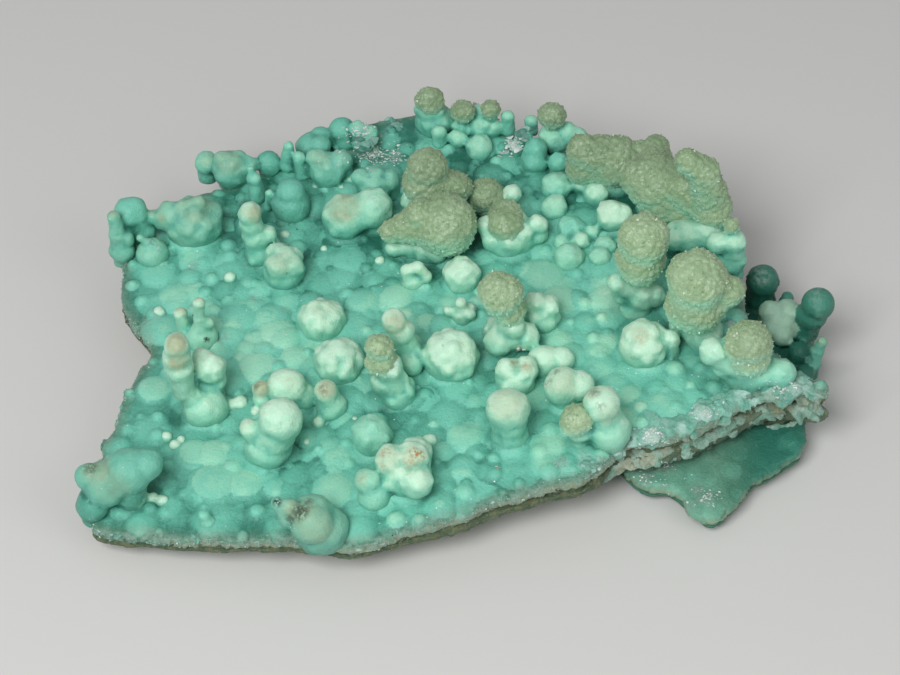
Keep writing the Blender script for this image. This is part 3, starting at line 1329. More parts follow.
# Spots on the knobs as they are seen: place, radius and strength.
TAN_SPOTS = ((113, 212, 8, 0.8), (161, 218, 6, 0.6), (152, 212, 5, 0.6), (196, 205, 22, 0.35),
             (256, 214, 12, 0.8), (246, 212, 7, 0.5), (343, 206, 20, 0.8), (228, 160, 18, 0.45),
             (320, 158, 12, 0.35), (283, 262, 14, 0.35), (181, 308, 9, 0.75), (199, 298, 8, 0.5),
             (176, 343, 15, 1.0), (178, 363, 14, 0.8), (326, 388, 13, 0.95), (261, 388, 12, 0.9),
             (246, 424, 8, 0.35), (396, 325, 15, 0.75), (322, 308, 14, 0.3), (290, 382, 10, 0.3),
             (507, 404, 21, 0.5), (318, 526, 28, 0.35), (205, 160, 10, 0.4), (430, 100, 14, 0.5),
             (110, 484, 24, 0.3), (515, 364, 7, 0.6), (526, 368, 8, 0.6), (560, 380, 19, 0.4),
             (592, 392, 12, 0.5), (611, 416, 16, 0.35), (640, 335, 13, 0.45), (98, 470, 20, 0.6),
             (300, 512, 20, 0.6), (388, 458, 17, 0.45), (413, 456, 16, 0.45), (362, 478, 9, 0.35),
             (204, 508, 7, 0.8), (822, 340, 8, 0.5), (513, 215, 12, 0.3), (463, 344, 6, 0.3))
RUST_SPOTS = ((414, 452, 7, 1.0), (421, 455, 6, 0.9), (410, 460, 10, 0.45), (386, 452, 7, 0.6),
              (383, 467, 6, 0.35), (443, 194, 3, 1.0), (362, 479, 6, 0.35), (640, 337, 9, 0.3),
              (526, 366, 6, 0.35), (409, 470, 9, 0.25), (513, 362, 5, 0.4))
SOOT_SPOTS = ((277, 502, 6, 1.0), (301, 512, 11, 0.75), (308, 501, 6, 0.6), (291, 520, 7, 0.6),
              (90, 468, 9, 0.5), (200, 506, 4, 0.5), (594, 392, 8, 0.45), (600, 406, 6, 0.4),
              (556, 372, 5, 0.45), (550, 381, 4, 0.4), (112, 208, 5, 0.6), (323, 389, 6, 0.4),
              (256, 385, 6, 0.5), (207, 339, 4, 1.0))


def shade_knobs(item, beads):
    """Store what the material reads on the knobs and on the beads."""
    points, normals = points_of(item)
    pale = np.append(per_ball(CRUST_SHAPES, "pale"), np.full(len(beads), BEAD_PALE))
    dull = np.append(per_ball(CRUST_SHAPES, "dull"), np.zeros(len(beads)))
    tops = np.append(per_ball(CRUST_SHAPES, "top"), 1.5 * beads[:, 3])
    owner = nearest_balls(points, np.concatenate((balls_of(CRUST_SHAPES), beads)))
    convex = standing_out(item, 14)
    sunk = smooth_step(1.0, 8.0, HEIGHTS.sunk(points))
    facing = smooth_step(-0.4, 0.9, normals[:, 2])
    rise = smooth_step(0.0, 0.75, height_over(CRUST, points) / np.minimum(tops[owner], 12.0))
    own = pale[owner]
    ground = np.minimum(tone_at(points) + 0.04, own)
    light = ground + (own - ground) * (0.05 + 0.95 * rise) * (0.3 + 0.7 * facing)
    light += np.clip(convex * 0.8, -0.26, 0.16)
    set_attribute(item, "pale", light)
    deep = 0.4 * np.clip(-convex * 2.5, 0, 1) * (1 - 0.3 * rise) + 0.26 * sunk + dull[owner]
    set_attribute(item, "deep", deep + 0.32 * (1 - facing) * (1 - 0.4 * rise))
    for name, spots in (("tan", TAN_SPOTS), ("rust", RUST_SPOTS), ("soot", SOOT_SPOTS), ("frost", ())):
        set_attribute(item, name, painted(points, hit_points(item, spots)))


def uneven(item, grain, amount):
    """Make a grown surface a little uneven."""
    points, normals = points_of(item)
    move_points(item, points + normals * (roughness_at(points, grain, 2) * amount)[:, None])


def lumpy(item, size, amount):
    """Swell a grown surface into small rounded lumps."""
    points, normals = points_of(item)
    stray = np.array([noise_vector(Vector(point / 4.0)) for point in points]) * 0.8
    move_points(item, points + normals * ((lumps_at(points + stray, size) - 0.6) * amount)[:, None])


def bead_balls():
    """Place the white beads on the crust."""
    balls = []
    for seen in BEADS:
        centre = seen_on_plane(seen, CRUST)
        radius = real_radius(seen[2], centre)
        lift = 0.3 * radius
        balls.append((centre.x, centre.y - 0.7 * lift, centre.z + 0.7 * lift, radius))
    return np.array(balls)


class ARAGONITE_OT_knobs(bpy.types.Operator):
    """Model the knobs of the crust: balls, mulberries and columns grown into each other."""

    bl_idname = "aragonite.knobs"
    bl_label = "Knobs"

    def execute(self, context):
        beads = bead_balls()
        balls = np.concatenate((balls_of(CRUST_SHAPES), beads))
        meshes = [balls_mesh(balls, unit_ball(3))] + columns_mesh(columns_of(CRUST_SHAPES), unit_column())
        item = grown_together("knobs", meshes, KNOB_CELL)
        relax(item, 1)
        uneven(item, 6.0, 0.45)
        lumpy(item, 2.2, 0.14)
        uneven(item, 1.5, 0.12)
        thin_out(item)
        shade_knobs(item, beads)
        smooth_shaded(item)
        dress(item, material_once("waxy_aragonite", aragonite_material, context))
        return {"FINISHED"}


# Sugary caps

def unit_grain():
    """Model one sugary grain: a blunt four-sided crystal with a point at each end."""
    deselect()
    bpy.ops.mesh.primitive_cone_add(vertices=4, radius1=0.8, radius2=0.0, depth=1.0, location=(0, 0, 0.5))
    bpy.ops.object.transform_apply(location=True)
    bpy.ops.object.mode_set(mode="EDIT")
    bpy.ops.mesh.select_all(action="SELECT")
    bpy.ops.mesh.quads_convert_to_tris()
    bpy.ops.object.mode_set(mode="OBJECT")
    return taken(bpy.context.object)


def turned(shapes, side, up):
    """Turn each shape so that its x runs along its side and its z along its up."""
    return (shapes[..., 0:1] * side[:, None] + shapes[..., 1:2] * np.cross(up, side)[:, None]
            + shapes[..., 2:3] * up[:, None])


def strewn_grains(name, points, normals, template, smallest, largest, draw):
    """Set a grain on each point, leaning at random from the surface's own direction."""
    shape, faces = template
    count = len(points)
    up = unit_vectors(normals + draw.normal(0.0, 0.35, (count, 3)))
    side = unit_vectors(np.cross(up, draw.normal(0.0, 1.0, (count, 3))))
    size = draw.uniform(smallest, largest, count)[:, None, None]
    placed = points[:, None] - 0.25 * size * up[:, None] + turned(shape[None], side, up) * size
    return mesh_object(name, *copies(placed, faces))


# How many fine grains and larger crystals are set on the caps.
GRAIN_COUNT = 19000
CRYSTAL_COUNT = 1800

# Darker places on the caps as they are seen: place, radius and strength.
CAP_SHADES = ((752, 350, 26, 0.3), (430, 175, 22, 0.25), (560, 418, 12, 0.2), (690, 320, 26, 0.12))


def grown_across(balls):
    """Join the caps that overlap, also those of different knobs, so that they form one mass."""
    columns = []
    for index, (*place, radius) in enumerate(balls):
        for *other, other_radius in balls[index + 1:]:
            if math.dist(place, other) < CAP_BRIDGE * (radius + other_radius):
                columns.append((Vector(place), CAP_BRIDGE * radius, Vector(other), CAP_BRIDGE * other_radius))
    return columns


class ARAGONITE_OT_caps(bpy.types.Operator):
    """Model the sugary caps: lumpy bodies set all over with fine crystals."""

    bl_idname = "aragonite.caps"
    bl_label = "Sugary caps"

    def execute(self, context):
        draw = np.random.default_rng(21)
        balls = rows([ball for shape in CRUST_SHAPES for ball in shape.caps])
        columns = [column for shape in CRUST_SHAPES for column in shape.cap_columns] + grown_across(balls)
        meshes = [balls_mesh(balls, unit_ball(4))] + columns_mesh(columns, unit_column())
        item = grown_together("sugary_caps", meshes, CAP_CELL)
        relax(item, 2)
        uneven(item, 6.0, 0.5)
        points, normals = points_of(item)
        mint = 0.8 * (1 - smooth_step(-0.55, 0.38, normals[:, 2]))
        teeth = np.array([voronoi(Vector(point / 1.2))[0][0] for point in points])
        move_points(item, points + normals * ((0.42 - teeth) * 0.6)[:, None])
        points, normals = points_of(item)
        shade = 0.45 * smooth_step(0.0, 34.0, points[:, 1]) + painted(points, hit_points(item, CAP_SHADES))
        chosen = draw.permutation(len(points))[:GRAIN_COUNT]
        large = draw.permutation(len(points))[:CRYSTAL_COUNT]
        template = unit_grain()
        grains = strewn_grains("cap_grains", points[chosen], normals[chosen], template, 0.12, 0.24, draw)
        coarse = strewn_grains("cap_crystals", points[large], normals[large], template, 0.32, 0.6, draw)
        each = len(template[0])
        for piece, rows_used in ((item, slice(None)), (grains, np.repeat(chosen, each)),
                                 (coarse, np.repeat(large, each))):
            set_attribute(piece, "shade", shade[rows_used])
            set_attribute(piece, "mint", mint[rows_used])
        thin_out(item)
        dress(item, material_once("sugary_bodies", sugar_material, context))
        for piece in (grains, coarse):
            dress(piece, material_once("sugary_grains", crystal_material, context))
        return {"FINISHED"}


# Ledge

# Sparkling places on the ledge as they are seen: place, radius and strength.
LEDGE_GLINTS = ((707, 497, 11, 1.2), (698, 490, 8, 1.0), (665, 466, 12, 0.7), (645, 478, 12, 0.7),
                (690, 505, 9, 0.7), (760, 275, 13, 0.7), (815, 292, 12, 0.45))


def shade_ledge(item, balls):
    """Store what the material reads: dark teal at the right, olive at the front, paler on the knobs."""
    points, normals = points_of(item)
    pale, dull = per_ball(LEDGE_SHAPES, "pale"), per_ball(LEDGE_SHAPES, "dull")
    owner = nearest_balls(points, balls)
    height = height_over(LEDGE, points)
    sunk = smooth_step(0.0, 9.0, HEIGHTS.sunk(points))
    facing = smooth_step(-0.6, 0.9, normals[:, 2])
    knobby = smooth_step(0.6, 3.0, height)
    right = smooth_step(44.0, 58.0, points[:, 0])
    set_attribute(item, "pale", 0.2 - 0.14 * right + pale[owner] * knobby * (0.5 + 1.1 * facing))
    deep = 0.1 + 0.35 * sunk + dull[owner] * knobby
    set_attribute(item, "deep", deep + 0.2 * (1 - facing) + 0.3 * right)
    near = 1 - smooth_step(0.3, 2.2, edge_distance(points, LEDGE_RIM))
    glints = painted(points, hit_points(item, LEDGE_GLINTS))
    set_attribute(item, "frost", glints + 0.15 * near * (1 - smooth_step(0.35, 0.8, normals[:, 2])))
    green = 0.26 * (1 - smooth_step(48.0, 60.0, points[:, 0])) * (1 - smooth_step(0.5, 3.0, height))
    tan = green + 0.5 * near * smooth_step(0.5, 1.5, -height)
    set_attribute(item, "tan", np.maximum(painted(points, hit_points(item, TAN_SPOTS)), tan))
    set_attribute(item, "carpet", 0.9 * (1 - knobby))
    for name in ("rust", "soot"):
        set_attribute(item, name, np.zeros(len(points)))


class ARAGONITE_OT_ledge(bpy.types.Operator):
    """Model the lower ledge: the edge of an older crust that sticks out below, with its own dark knobs."""

    bl_idname = "aragonite.ledge"
    bl_label = "Ledge"

    def execute(self, context):
        draw = np.random.default_rng(8)
        places = rounded_rim(*LEDGE_RIM, 1.5)[0]
        domes = strewn_domes(places, LEDGE, 6.5, 3.5, 6.0, 0.1, 0.7, draw)
        balls = balls_of(LEDGE_SHAPES)
        slab = slab_mesh(LEDGE_RIM, LEDGE)
        meshes = [slab, domes_mesh(domes, unit_ball(3)), balls_mesh(balls, unit_ball(3))]
        meshes += columns_mesh(columns_of(LEDGE_SHAPES), unit_column())
        item = merged_skin("ledge", meshes, LEDGE_CELL)
        relax(item, 2)
        flat_below(item, LEDGE, 2.8)
        break_edge(item, LEDGE_RIM, LEDGE, 2.2)
        thin_out(item)
        shade_ledge(item, balls)
        smooth_shaded(item)
        dress(item, material_once("waxy_aragonite", aragonite_material, context))
        return {"FINISHED"}


# Rock

# Rings down the rock's broken side: how far in from the rim, in parts of its thickness, and how far down
# from the crust's underside to the rim's lower edge.
ROCK_SIDE = ((0.6, -0.1), (0.3, -0.04), (0.09, 0.0), (0.05, 0.07), (0.08, 0.15), (0.12, 0.23), (0.13, 0.31),
             (0.09, 0.37), (0.03, 0.42), (0.0, 0.5), (-0.01, 0.58), (0.0, 0.66), (0.01, 0.74), (0.02, 0.82),
             (0.05, 0.89), (0.1, 0.95), (0.2, 1.0), (0.42, 1.03), (0.7, 1.06))
CRUST_DEPTH = 2.2
BASE_INSET = 1.15
BASE_RINGS = 7


def rock_mesh(rim, plane):
    """Build the rock under a crust: broken layers down the rim, and an underside that runs in to the base."""
    places, thickness = rounded_rim(*rim, ROCK_SPACING)
    middle = places.mean(0)
    inward = unit_vectors(middle - places)
    depth = CRUST_DEPTH * (1 + (thickness - THIN_RIM) / 16)
    rough = 0.35 + 0.13 * (thickness - THIN_RIM)
    rings, parts = [], []
    for inset, drop in ROCK_SIDE:
        layer = 0.0 if drop < 0.4 else 30.0
        here = np.column_stack((places, layer - drop * (thickness - depth)))
        stray = np.clip(chips_at(here, 4.5) * 0.9 + chips_at(here, 1.6) * 0.5, -1.0, 1.0)
        sag = roughness_at(np.column_stack((places, np.full(len(places), 20 + layer))), 4.5, 3)
        flat = places + inward * (0.45 + inset * thickness + rough * stray)[:, None]
        height = height_on(plane, flat[:, 0], flat[:, 1]) - depth - drop * (thickness - depth)
        height -= 0.9 * rough * sag
        rings.append(np.column_stack((flat, np.maximum(height, 0.3))))
        parts.append(np.full(len(places), drop))
    ceiling = rings[-1]
    for step in range(1, BASE_RINGS + 1):
        share = step / BASE_RINGS
        flat = ceiling[:, :2] + inward * (ceiling[:, 2] * share * BASE_INSET)[:, None]
        stray = roughness_at(np.column_stack((flat, np.full(len(flat), share * 9.0))), 6.0, 2)
        flat = flat + inward * (stray * (1.6 if step < BASE_RINGS else 0.8))[:, None]
        rings.append(np.column_stack((flat, ceiling[:, 2] * (1 - share))))
        parts.append(np.full(len(places), 1.2))
    return np.concatenate(rings), ring_faces(len(rings), len(places)), np.concatenate(parts)


class ARAGONITE_OT_rock(bpy.types.Operator):
    """Model the rock that the crust grew on: layered at its broken rim and trimmed flat below."""

    bl_idname = "aragonite.rock"
    bl_label = "Rock"

    def execute(self, context):
        for name, rim, plane in (("matrix_rock", CRUST_RIM, CRUST), ("ledge_rock", LEDGE_RIM, LEDGE)):
            points, faces, parts = rock_mesh(rim, plane)
            item = mesh_object(name, points, faces)
            right = smooth_step(28.0, 34.0, points[:, 0]) * (1 - smooth_step(-22.0, -12.0, points[:, 1]))
            band = smooth_step(0.38, 0.44, parts) * (1 - smooth_step(1.0, 1.04, parts))
            edge = smooth_step(0.7, 0.85, parts) * (1 - smooth_step(1.0, 1.04, parts))
            pale = 0.2 * band * right + 0.3 * edge * (1 - right)
            set_attribute(item, "pale_band", pale if plane is CRUST else np.zeros(len(points)))
            set_attribute(item, "moss", np.full(len(points), 0.3 if plane is CRUST else 0.95))
            smooth_shaded(item)
            dress(item, material_once("brown_rock", rock_material, context))
        return {"FINISHED"}


# Broken stone

# Rows of flakes down a broken rim: how far down and in, in millimetres, their smallest and largest size, how
# far they lean out, and which colours they have.
THIN_FLAKES = ((0.5, 0.7, 0.7, 1.3, 0.6, "frost"), (1.4, 0.5, 0.7, 1.2, 0.9, "pinkish"),
               (2.5, 0.7, 0.7, 1.3, 1.2, "brown"), (3.5, 0.9, 0.6, 1.2, 1.5, "brown"))
THICK_FLAKES = ((0.1, 2.4, 2.2, 3.4, 0.3, "frost"), (0.5, 1.2, 2.2, 3.4, 0.5, "frost"),
                (1.4, 0.8, 1.8, 3.0, 0.9, "frost"), (2.4, 0.9, 1.6, 2.6, 1.3, "pinkish"),
                (3.4, 1.3, 1.6, 2.6, 1.5, "pinkish"), (4.4, 1.2, 1.6, 2.6, 1.3, "brown"),
                (5.4, 0.6, 2.0, 3.4, 1.0, "lower"), (6.4, 0.4, 2.2, 3.6, 1.1, "lower"),
                (7.6, 0.8, 2.0, 3.2, 1.3, "lower"), (8.8, 2.0, 1.4, 2.2, 1.5, "dark"))
FLAKE_COLOURS = {"frost": ((0.20, 0.44, 0.35), (0.15, 0.38, 0.30), (0.34, 0.54, 0.47), (0.14, 0.38, 0.29)),
                 "pinkish": ((0.25, 0.32, 0.24), (0.20, 0.29, 0.22), (0.32, 0.37, 0.30), (0.17, 0.28, 0.21)),
                 "brown": ((0.10, 0.12, 0.075), (0.13, 0.14, 0.08), (0.17, 0.155, 0.08), (0.07, 0.085, 0.05)),
                 "lower": ((0.20, 0.37, 0.29), (0.28, 0.44, 0.36), (0.15, 0.32, 0.24), (0.35, 0.48, 0.42)),
                 "dark": ((0.03, 0.05, 0.03), (0.05, 0.075, 0.045), (0.04, 0.045, 0.02), (0.06, 0.12, 0.08)),
                 "ochre": ((0.24, 0.17, 0.07), (0.28, 0.20, 0.09), (0.18, 0.16, 0.08), (0.26, 0.24, 0.14)),
                 "cream": ((0.42, 0.46, 0.35), (0.34, 0.42, 0.34), (0.36, 0.33, 0.20), (0.48, 0.55, 0.45)),
                 "white": ((0.62, 0.72, 0.68), (0.50, 0.64, 0.58), (0.34, 0.52, 0.45), (0.72, 0.80, 0.78)),
                 "teal": ((0.10, 0.30, 0.24), (0.07, 0.23, 0.18), (0.16, 0.38, 0.31), (0.24, 0.44, 0.38))}

# Loose flakes where they are seen: place, how far they are strewn, size, count and colours.
SEEN_FLAKES = ((368, 140, 13, 7, 14, "teal"), (362, 132, 14, 1.7, 80, "white"),
               (372, 154, 26, 1.7, 120, "white"), (392, 156, 14, 1.7, 50, "white"),
               (390, 122, 20, 7, 9, "teal"), (472, 103, 22, 2, 90, "white"), (484, 102, 10, 4, 8, "cream"),
               (516, 142, 12, 5, 16, "white"), (512, 146, 12, 2, 30, "white"), (524, 132, 8, 7, 8, "teal"),
               (506, 150, 6, 3, 8, "white"), (652, 436, 18, 1.8, 60, "white"),
               (706, 412, 14, 1.8, 40, "white"), (785, 388, 18, 1.8, 40, "white"),
               (707, 497, 14, 1.8, 40, "white"), (648, 478, 14, 1.6, 20, "white"),
               (665, 466, 12, 1.6, 16, "white"), (588, 466, 12, 5, 14, "frost"), (520, 349, 5, 3, 7, "cream"),
               (545, 384, 4, 2, 5, "cream"), (497, 468, 3, 2, 4, "cream"), (150, 243, 10, 3, 8, "frost"))

# Plates of the upper crust that lie broken along the thick rim, seen in the same way.
LYING_FLAKES = ((662, 430, 17, 13, 9, "frost"), (690, 420, 16, 13, 8, "frost"),
                (715, 410, 14, 12, 7, "frost"), (745, 402, 14, 12, 7, "frost"),
                (775, 394, 14, 12, 7, "frost"), (800, 388, 12, 11, 7, "frost"),
                (640, 440, 12, 10, 6, "frost"), (618, 452, 10, 9, 5, "frost"))

# Colours painted on the thick rim where they are seen: place, radius, strength and colour.
RIM_PAINT = ((626, 468, 15, 0.85, (0.46, 0.48, 0.36)), (648, 460, 11, 0.7, (0.42, 0.42, 0.30)),
             (667, 452, 10, 0.5, (0.34, 0.36, 0.26)), (782, 410, 13, 0.6, (0.26, 0.21, 0.10)),
             (770, 400, 12, 0.3, (0.28, 0.24, 0.15)), (740, 412, 16, 0.35, (0.30, 0.31, 0.24)),
             (653, 437, 9, 0.6, (0.55, 0.70, 0.62)), (706, 412, 8, 0.5, (0.5, 0.66, 0.58)),
             (800, 388, 12, 0.4, (0.48, 0.62, 0.56)), (735, 440, 20, 0.5, (0.22, 0.46, 0.37)))

# Flakes that hang from the lower crust, where they are seen at a depth: place, size and depth in millimetres.
HANGING_FLAKES = ((716, 438, 13, -25.5), (726, 446, 12, -25.0), (738, 444, 13, -24.5), (748, 438, 12, -24.0),
                  (758, 438, 11, -23.5), (768, 432, 12, -23.0), (780, 427, 12, -22.5), (794, 424, 11, -22.0),
                  (806, 418, 10, -21.5), (732, 434, 12, -24.5), (702, 444, 9, -26.0), (690, 448, 8, -27.0))


# A flake is longest along its side and flat across its up, and its kind names its colours.
Flake = namedtuple("Flake", "place up side size kind")


def cut_flakes(found, flatness, stray, draw):
    """Cut each flake from a ball with random planes, and let it stray a little from its side and its up."""
    shape, faces = unit_ball(2)
    count = len(found)
    places, ups, sides = (np.array([flake[part] for flake in found]) for part in range(3))
    points = np.repeat(shape[None], count, 0)
    for cut in range(9):
        facet = unit_vectors(draw.normal(0.0, 1.0, (count, 3)))
        over = np.einsum("nkj,nj->nk", points, facet) - draw.uniform(0.35, 0.75, (count, 1))
        points -= np.maximum(over, 0.0)[..., None] * facet[:, None]
    points = points * np.column_stack((draw.uniform(1.0, 1.6, count), draw.uniform(0.7, 1.0, count),
                                       np.full(count, flatness)))[:, None]
    up = unit_vectors(unit_vectors(ups) + draw.normal(0.0, 0.16 * stray, (count, 3)))
    side = sides + draw.normal(0.0, 0.3 * stray, (count, 3))
    side = unit_vectors(side - up * (side * up).sum(1)[:, None])
    sizes = np.array([flake.size for flake in found])
    return copies(places[:, None] + turned(points, side, up) * sizes[:, None, None], faces)


def rim_flakes(rim, plane, thick_part, draw):
    """Set rows of flakes down a broken rim: either its thick part at the right front, or all the rest."""
    places, thickness = rounded_rim(*rim, 1.0)
    found = []
    outwards = unit_vectors(places - places.mean(0))
    tangents = unit_vectors(np.roll(places, -1, 0) - np.roll(places, 1, 0))
    for place, out, tangent, thick in zip(places, outwards, tangents, thickness):
        share = (thick - THIN_RIM) / (THICK_RIM - THIN_RIM)
        front = share > 0.5 and place[1] < -8.0 and place[0] > 28.0
        if front != thick_part:
            continue
        for drop, inset, smallest, largest, lean, kind in THICK_FLAKES if front else THIN_FLAKES:
            if draw.uniform() > (0.55 if front else 0.8):
                continue
            size = draw.uniform(smallest, largest) * 0.8
            flat = place - out * (inset + 0.5 * size + draw.uniform(-0.1, 0.4)) + draw.uniform(-0.4, 0.4, 2)
            fall = drop * (1.0 if front else 0.8 + 0.4 * share)
            height = height_on(plane, *flat) - fall + draw.uniform(-0.25, 0.1)
            if kind == "brown" and front and draw.uniform() < 0.25:
                kind = "pinkish"
            spot = (*flat, max(height, 0.8 * size))
            found.append(Flake(spot, (*(out * lean), 1.0), (*tangent, 0.0), size, kind))
    return found


def seen_flakes(spots, targets, draw):
    """Strew flakes round the places where they are seen."""
    found = []
    for u, v, spread, size, count, kind in spots:
        for turn in range(count):
            spot = (u + draw.normal(0.0, 0.5 * spread), v + draw.normal(0.0, 0.3 * spread), size, 1.0)
            hits = [hit for target in targets for hit in hit_points(target, (spot,))]
            if hits:
                x, y, z, radius, strength = min(hits, key=lambda hit: (Vector(hit[:3]) - EYE).length)
                side = (1.0, 0.0, draw.uniform(-1.0, 1.0))
                place = (x, y, z - 0.1 * radius)
                found.append(Flake(place, (0.0, -0.7, 1.0), side, radius * draw.uniform(0.5, 1.1), kind))
    return found


def hanging_flakes():
    """Hang the larger flakes of the lower crust over the dark gap."""
    found = []
    for u, v, size, depth in HANGING_FLAKES:
        point = seen_at_depth((u, v), depth)
        size = 0.75 * real_radius(size, point)
        found.append(Flake(tuple(point), (0.25, -0.75, 0.6), (0.8, 0.25, 0.2), size, "lower"))
    return found


def flake_set(found, flatness, stray, draw):
    """Cut some flakes, and give their places, their colours and their joined mesh."""
    tints = np.array([FLAKE_COLOURS[flake.kind][draw.integers(4)] for flake in found])
    tints = np.clip(tints * draw.uniform(0.92, 1.3, (len(tints), 1)), 0, 1)
    places = np.array([flake.place for flake in found])
    return places, tints, *cut_flakes(found, flatness, stray, draw)


def blended_tints(points, places, tints):
    """Blend the colours of the flakes round each point, the nearest ones the most."""
    def blended(part):
        weight = (((part[:, None] - places[None]) ** 2).sum(2) + 0.02) ** -3.0
        return weight @ tints / weight.sum(1)[:, None]

    return in_blocks(blended, points)


def set_tint(item, colours):
    """Store a colour for each point, for the material to read."""
    layer = item.data.attributes.new("tint", "FLOAT_COLOR", "POINT")
    opaque = np.column_stack((colours, np.ones(len(colours))))
    layer.data.foreach_set("color", opaque.astype(np.float32).ravel())


def stone_material(colours):
    """Mix broken stone whose colour each flake brings with it."""
    s = Shader("broken_stone", IOR=1.55, Subsurface_Weight=0.3, Subsurface_Scale=0.001,
               Subsurface_Radius=(0.7, 1.0, 0.9))
    fine = s.noise(0.6, 4.0, 0.7)
    own = s.add("ShaderNodeAttribute", {"attribute_name": "tint"}, output="Color")
    shade = s.blend(fine.step(0.5, 0.8) * 0.35, own, colours.frost)
    shade = s.blend((1 - fine.step(0.25, 0.45)) * 0.3, shade, colours.rock)
    specks = (1 - s.cells(1.1).step(0.06, 0.12)) * s.noise(3.0).step(0.45, 0.6)
    shade = s.blend(specks, shade, (0.85, 0.92, 0.9))
    s.colour(shade)
    s.roughness(0.3 + fine * 0.4)
    s.relief(fine, 0.12)
    return s.material


class ARAGONITE_OT_flakes(bpy.types.Operator):
    """Break the rims into flakes, and strew the loose flakes that lie on the specimen."""

    bl_idname = "aragonite.flakes"
    bl_label = "Broken flakes"

    def execute(self, context):
        draw = np.random.default_rng(33)
        targets = [bpy.data.objects[name] for name in ("crust", "knobs", "ledge", "matrix_rock")]
        band = rim_flakes(CRUST_RIM, CRUST, True, draw) + hanging_flakes()
        band += seen_flakes(LYING_FLAKES, targets[:1], draw)
        places, tints, points, faces = flake_set(band, 0.34, 0.4, draw)
        item = merged_skin("broken_band", [(points, faces)], BAND_CELL)
        relax(item, 2)
        points, normals = points_of(item)
        push = chips_at(points, 1.5) * 0.16 + chips_at(points, 0.6) * 0.12
        push += roughness_at(points, 0.5, 1) * 0.08
        move_points(item, points + normals * np.clip(push, -0.5, 0.5)[:, None])
        colours = blended_tints(points, places, tints)
        for u, v, radius, strength, paint in RIM_PAINT:
            part = painted(points, hit_points(item, ((u, v, radius, strength),)))[:, None]
            colours = colours * (1 - part) + np.array(paint) * part
        set_tint(item, colours)
        thin_out(item)
        dress(item, material_once("broken_stone", stone_material, context))
        targets.append(item)
        loose = rim_flakes(CRUST_RIM, CRUST, False, draw) + seen_flakes(SEEN_FLAKES, targets, draw)
        places, tints, points, faces = flake_set(loose, 0.3, 1.0, draw)
        item = mesh_object("rim_flakes", points, faces)
        set_tint(item, np.repeat(tints, len(points) // len(tints), 0))
        dress(item, material_once("broken_stone", stone_material, context))
        return {"FINISHED"}


# Frost

# How many sparkling grains are strewn at most.
FROST_COUNT = 2500


class ARAGONITE_OT_frost(bpy.types.Operator):
    """Strew sparkling grains along the freshly broken edges."""

    bl_idname = "aragonite.frost"
    bl_label = "Frosted edges"

    def execute(self, context):
        draw = np.random.default_rng(17)
        crust = bpy.data.objects["crust"]
        points, normals = points_of(crust)
        frost = np.empty(len(points), np.float32)
        crust.data.attributes["frost"].data.foreach_get("value", frost)
        edge = np.flatnonzero((frost > 0.5) & (normals[:, 2] > -0.3))
        chosen = draw.choice(edge, min(FROST_COUNT, len(edge)), replace=False)
        item = strewn_grains("frost_grains", points[chosen], normals[chosen], unit_grain(), 0.12, 0.34, draw)
        dress(item, material_once("broken_grains", frost_material, context))
        return {"FINISHED"}


# Stage

def area_light(name, power, size, place, target):
    """Hang a square studio light that faces a point."""
    deselect()
    bpy.ops.object.light_add(type="AREA", location=place)
    light = bpy.context.object
    light.name = name
    light.data.energy = power
    light.data.size = size
    light.rotation_euler = (Vector(target) - Vector(place)).to_track_quat("-Z", "Y").to_euler()


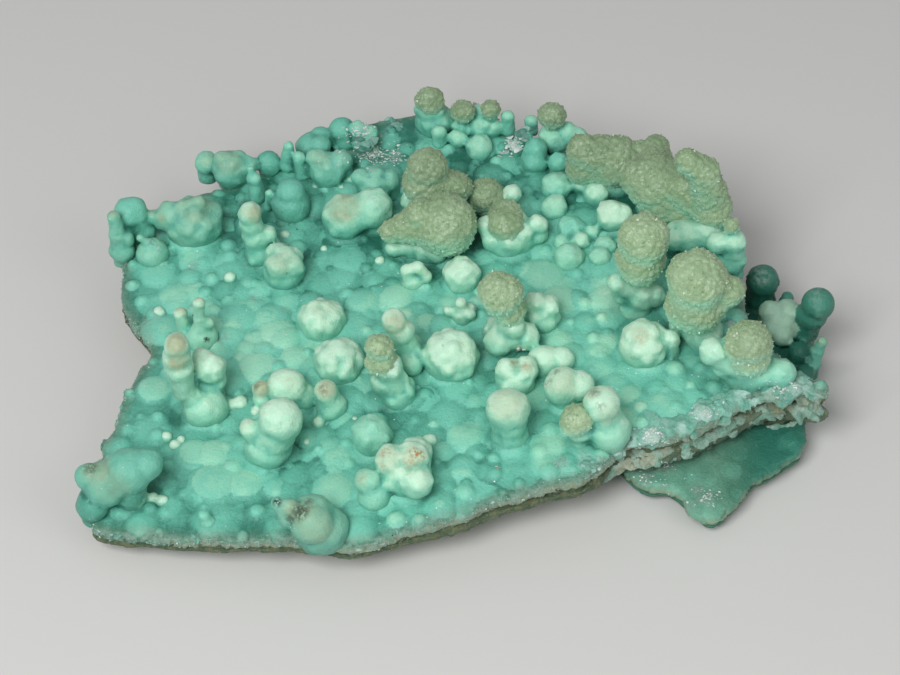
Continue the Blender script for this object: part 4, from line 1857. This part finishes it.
class ARAGONITE_OT_stage(bpy.types.Operator):
    """Lay the floor, hang the lights and set up the camera at the photograph's angle."""

    bl_idname = "aragonite.stage"
    bl_label = "Stage"

    def execute(self, context):
        strengths = context.scene.aragonite_stage
        deselect()
        bpy.ops.mesh.primitive_plane_add(size=6.0, location=(0, 0, 0))
        floor = bpy.context.object
        floor.name = "floor"
        floor.data.materials.append(floor_material(context.scene.aragonite_colours))
        area_light("key_light", strengths.key, 0.4, (-0.26, -0.52, 0.66), (0, 0, 0.02))
        area_light("fill_light", strengths.fill, 0.5, (0.5, -0.45, 0.45), (0, 0, 0.02))
        world = bpy.data.worlds.new("studio")
        world.use_nodes = True
        world.node_tree.nodes["Background"].inputs["Color"].default_value = (1.0, 1.0, 1.0, 1.0)
        world.node_tree.nodes["Background"].inputs["Strength"].default_value = strengths.sky
        context.scene.world = world
        context.scene.view_settings.view_transform = "Standard"
        deselect()
        bpy.ops.object.camera_add(location=EYE * MM, rotation=(math.pi / 2 - VIEW_ELEVATION, 0, 0))
        camera = bpy.context.object
        camera.data.sensor_width = SENSOR_WIDTH
        camera.data.lens = FOCAL_PIXELS * SENSOR_WIDTH / FRAME_WIDTH
        camera.data.clip_start = 0.01
        context.scene.camera = camera
        return {"FINISHED"}


class ARAGONITE_PT_panel(bpy.types.Panel):
    """List the specimen's parts and settings."""

    bl_idname = "ARAGONITE_PT_panel"
    bl_label = "Aragonite plate"
    bl_space_type = "VIEW_3D"
    bl_region_type = "UI"
    bl_category = "Aragonite"

    def draw(self, context):
        for settings in (context.scene.aragonite_crust, context.scene.aragonite_colours,
                         context.scene.aragonite_stage):
            box = self.layout.box()
            for name in settings.__annotations__:
                box.prop(settings, name)
        for operator in OPERATORS:
            self.layout.operator(operator.bl_idname)


SETTINGS = {"aragonite_crust": AragoniteCrustSettings, "aragonite_colours": AragoniteColours,
            "aragonite_stage": AragoniteStageSettings}
OPERATORS = (ARAGONITE_OT_crust, ARAGONITE_OT_knobs, ARAGONITE_OT_caps, ARAGONITE_OT_ledge,
             ARAGONITE_OT_rock, ARAGONITE_OT_flakes, ARAGONITE_OT_frost, ARAGONITE_OT_stage)
CLASSES = (*SETTINGS.values(), *OPERATORS, ARAGONITE_PT_panel)


def register():
    for item in CLASSES:
        bpy.utils.register_class(item)
    for name, settings in SETTINGS.items():
        setattr(bpy.types.Scene, name, PointerProperty(type=settings))


def unregister():
    for name in SETTINGS:
        delattr(bpy.types.Scene, name)
    for item in reversed(CLASSES):
        bpy.utils.unregister_class(item)


def main():
    register()
    bpy.ops.aragonite.crust()
    bpy.ops.aragonite.knobs()
    bpy.ops.aragonite.caps()
    bpy.ops.aragonite.ledge()
    bpy.ops.aragonite.rock()
    bpy.ops.aragonite.flakes()
    bpy.ops.aragonite.frost()
    bpy.ops.aragonite.stage()


if __name__ == "__main__":
    main()
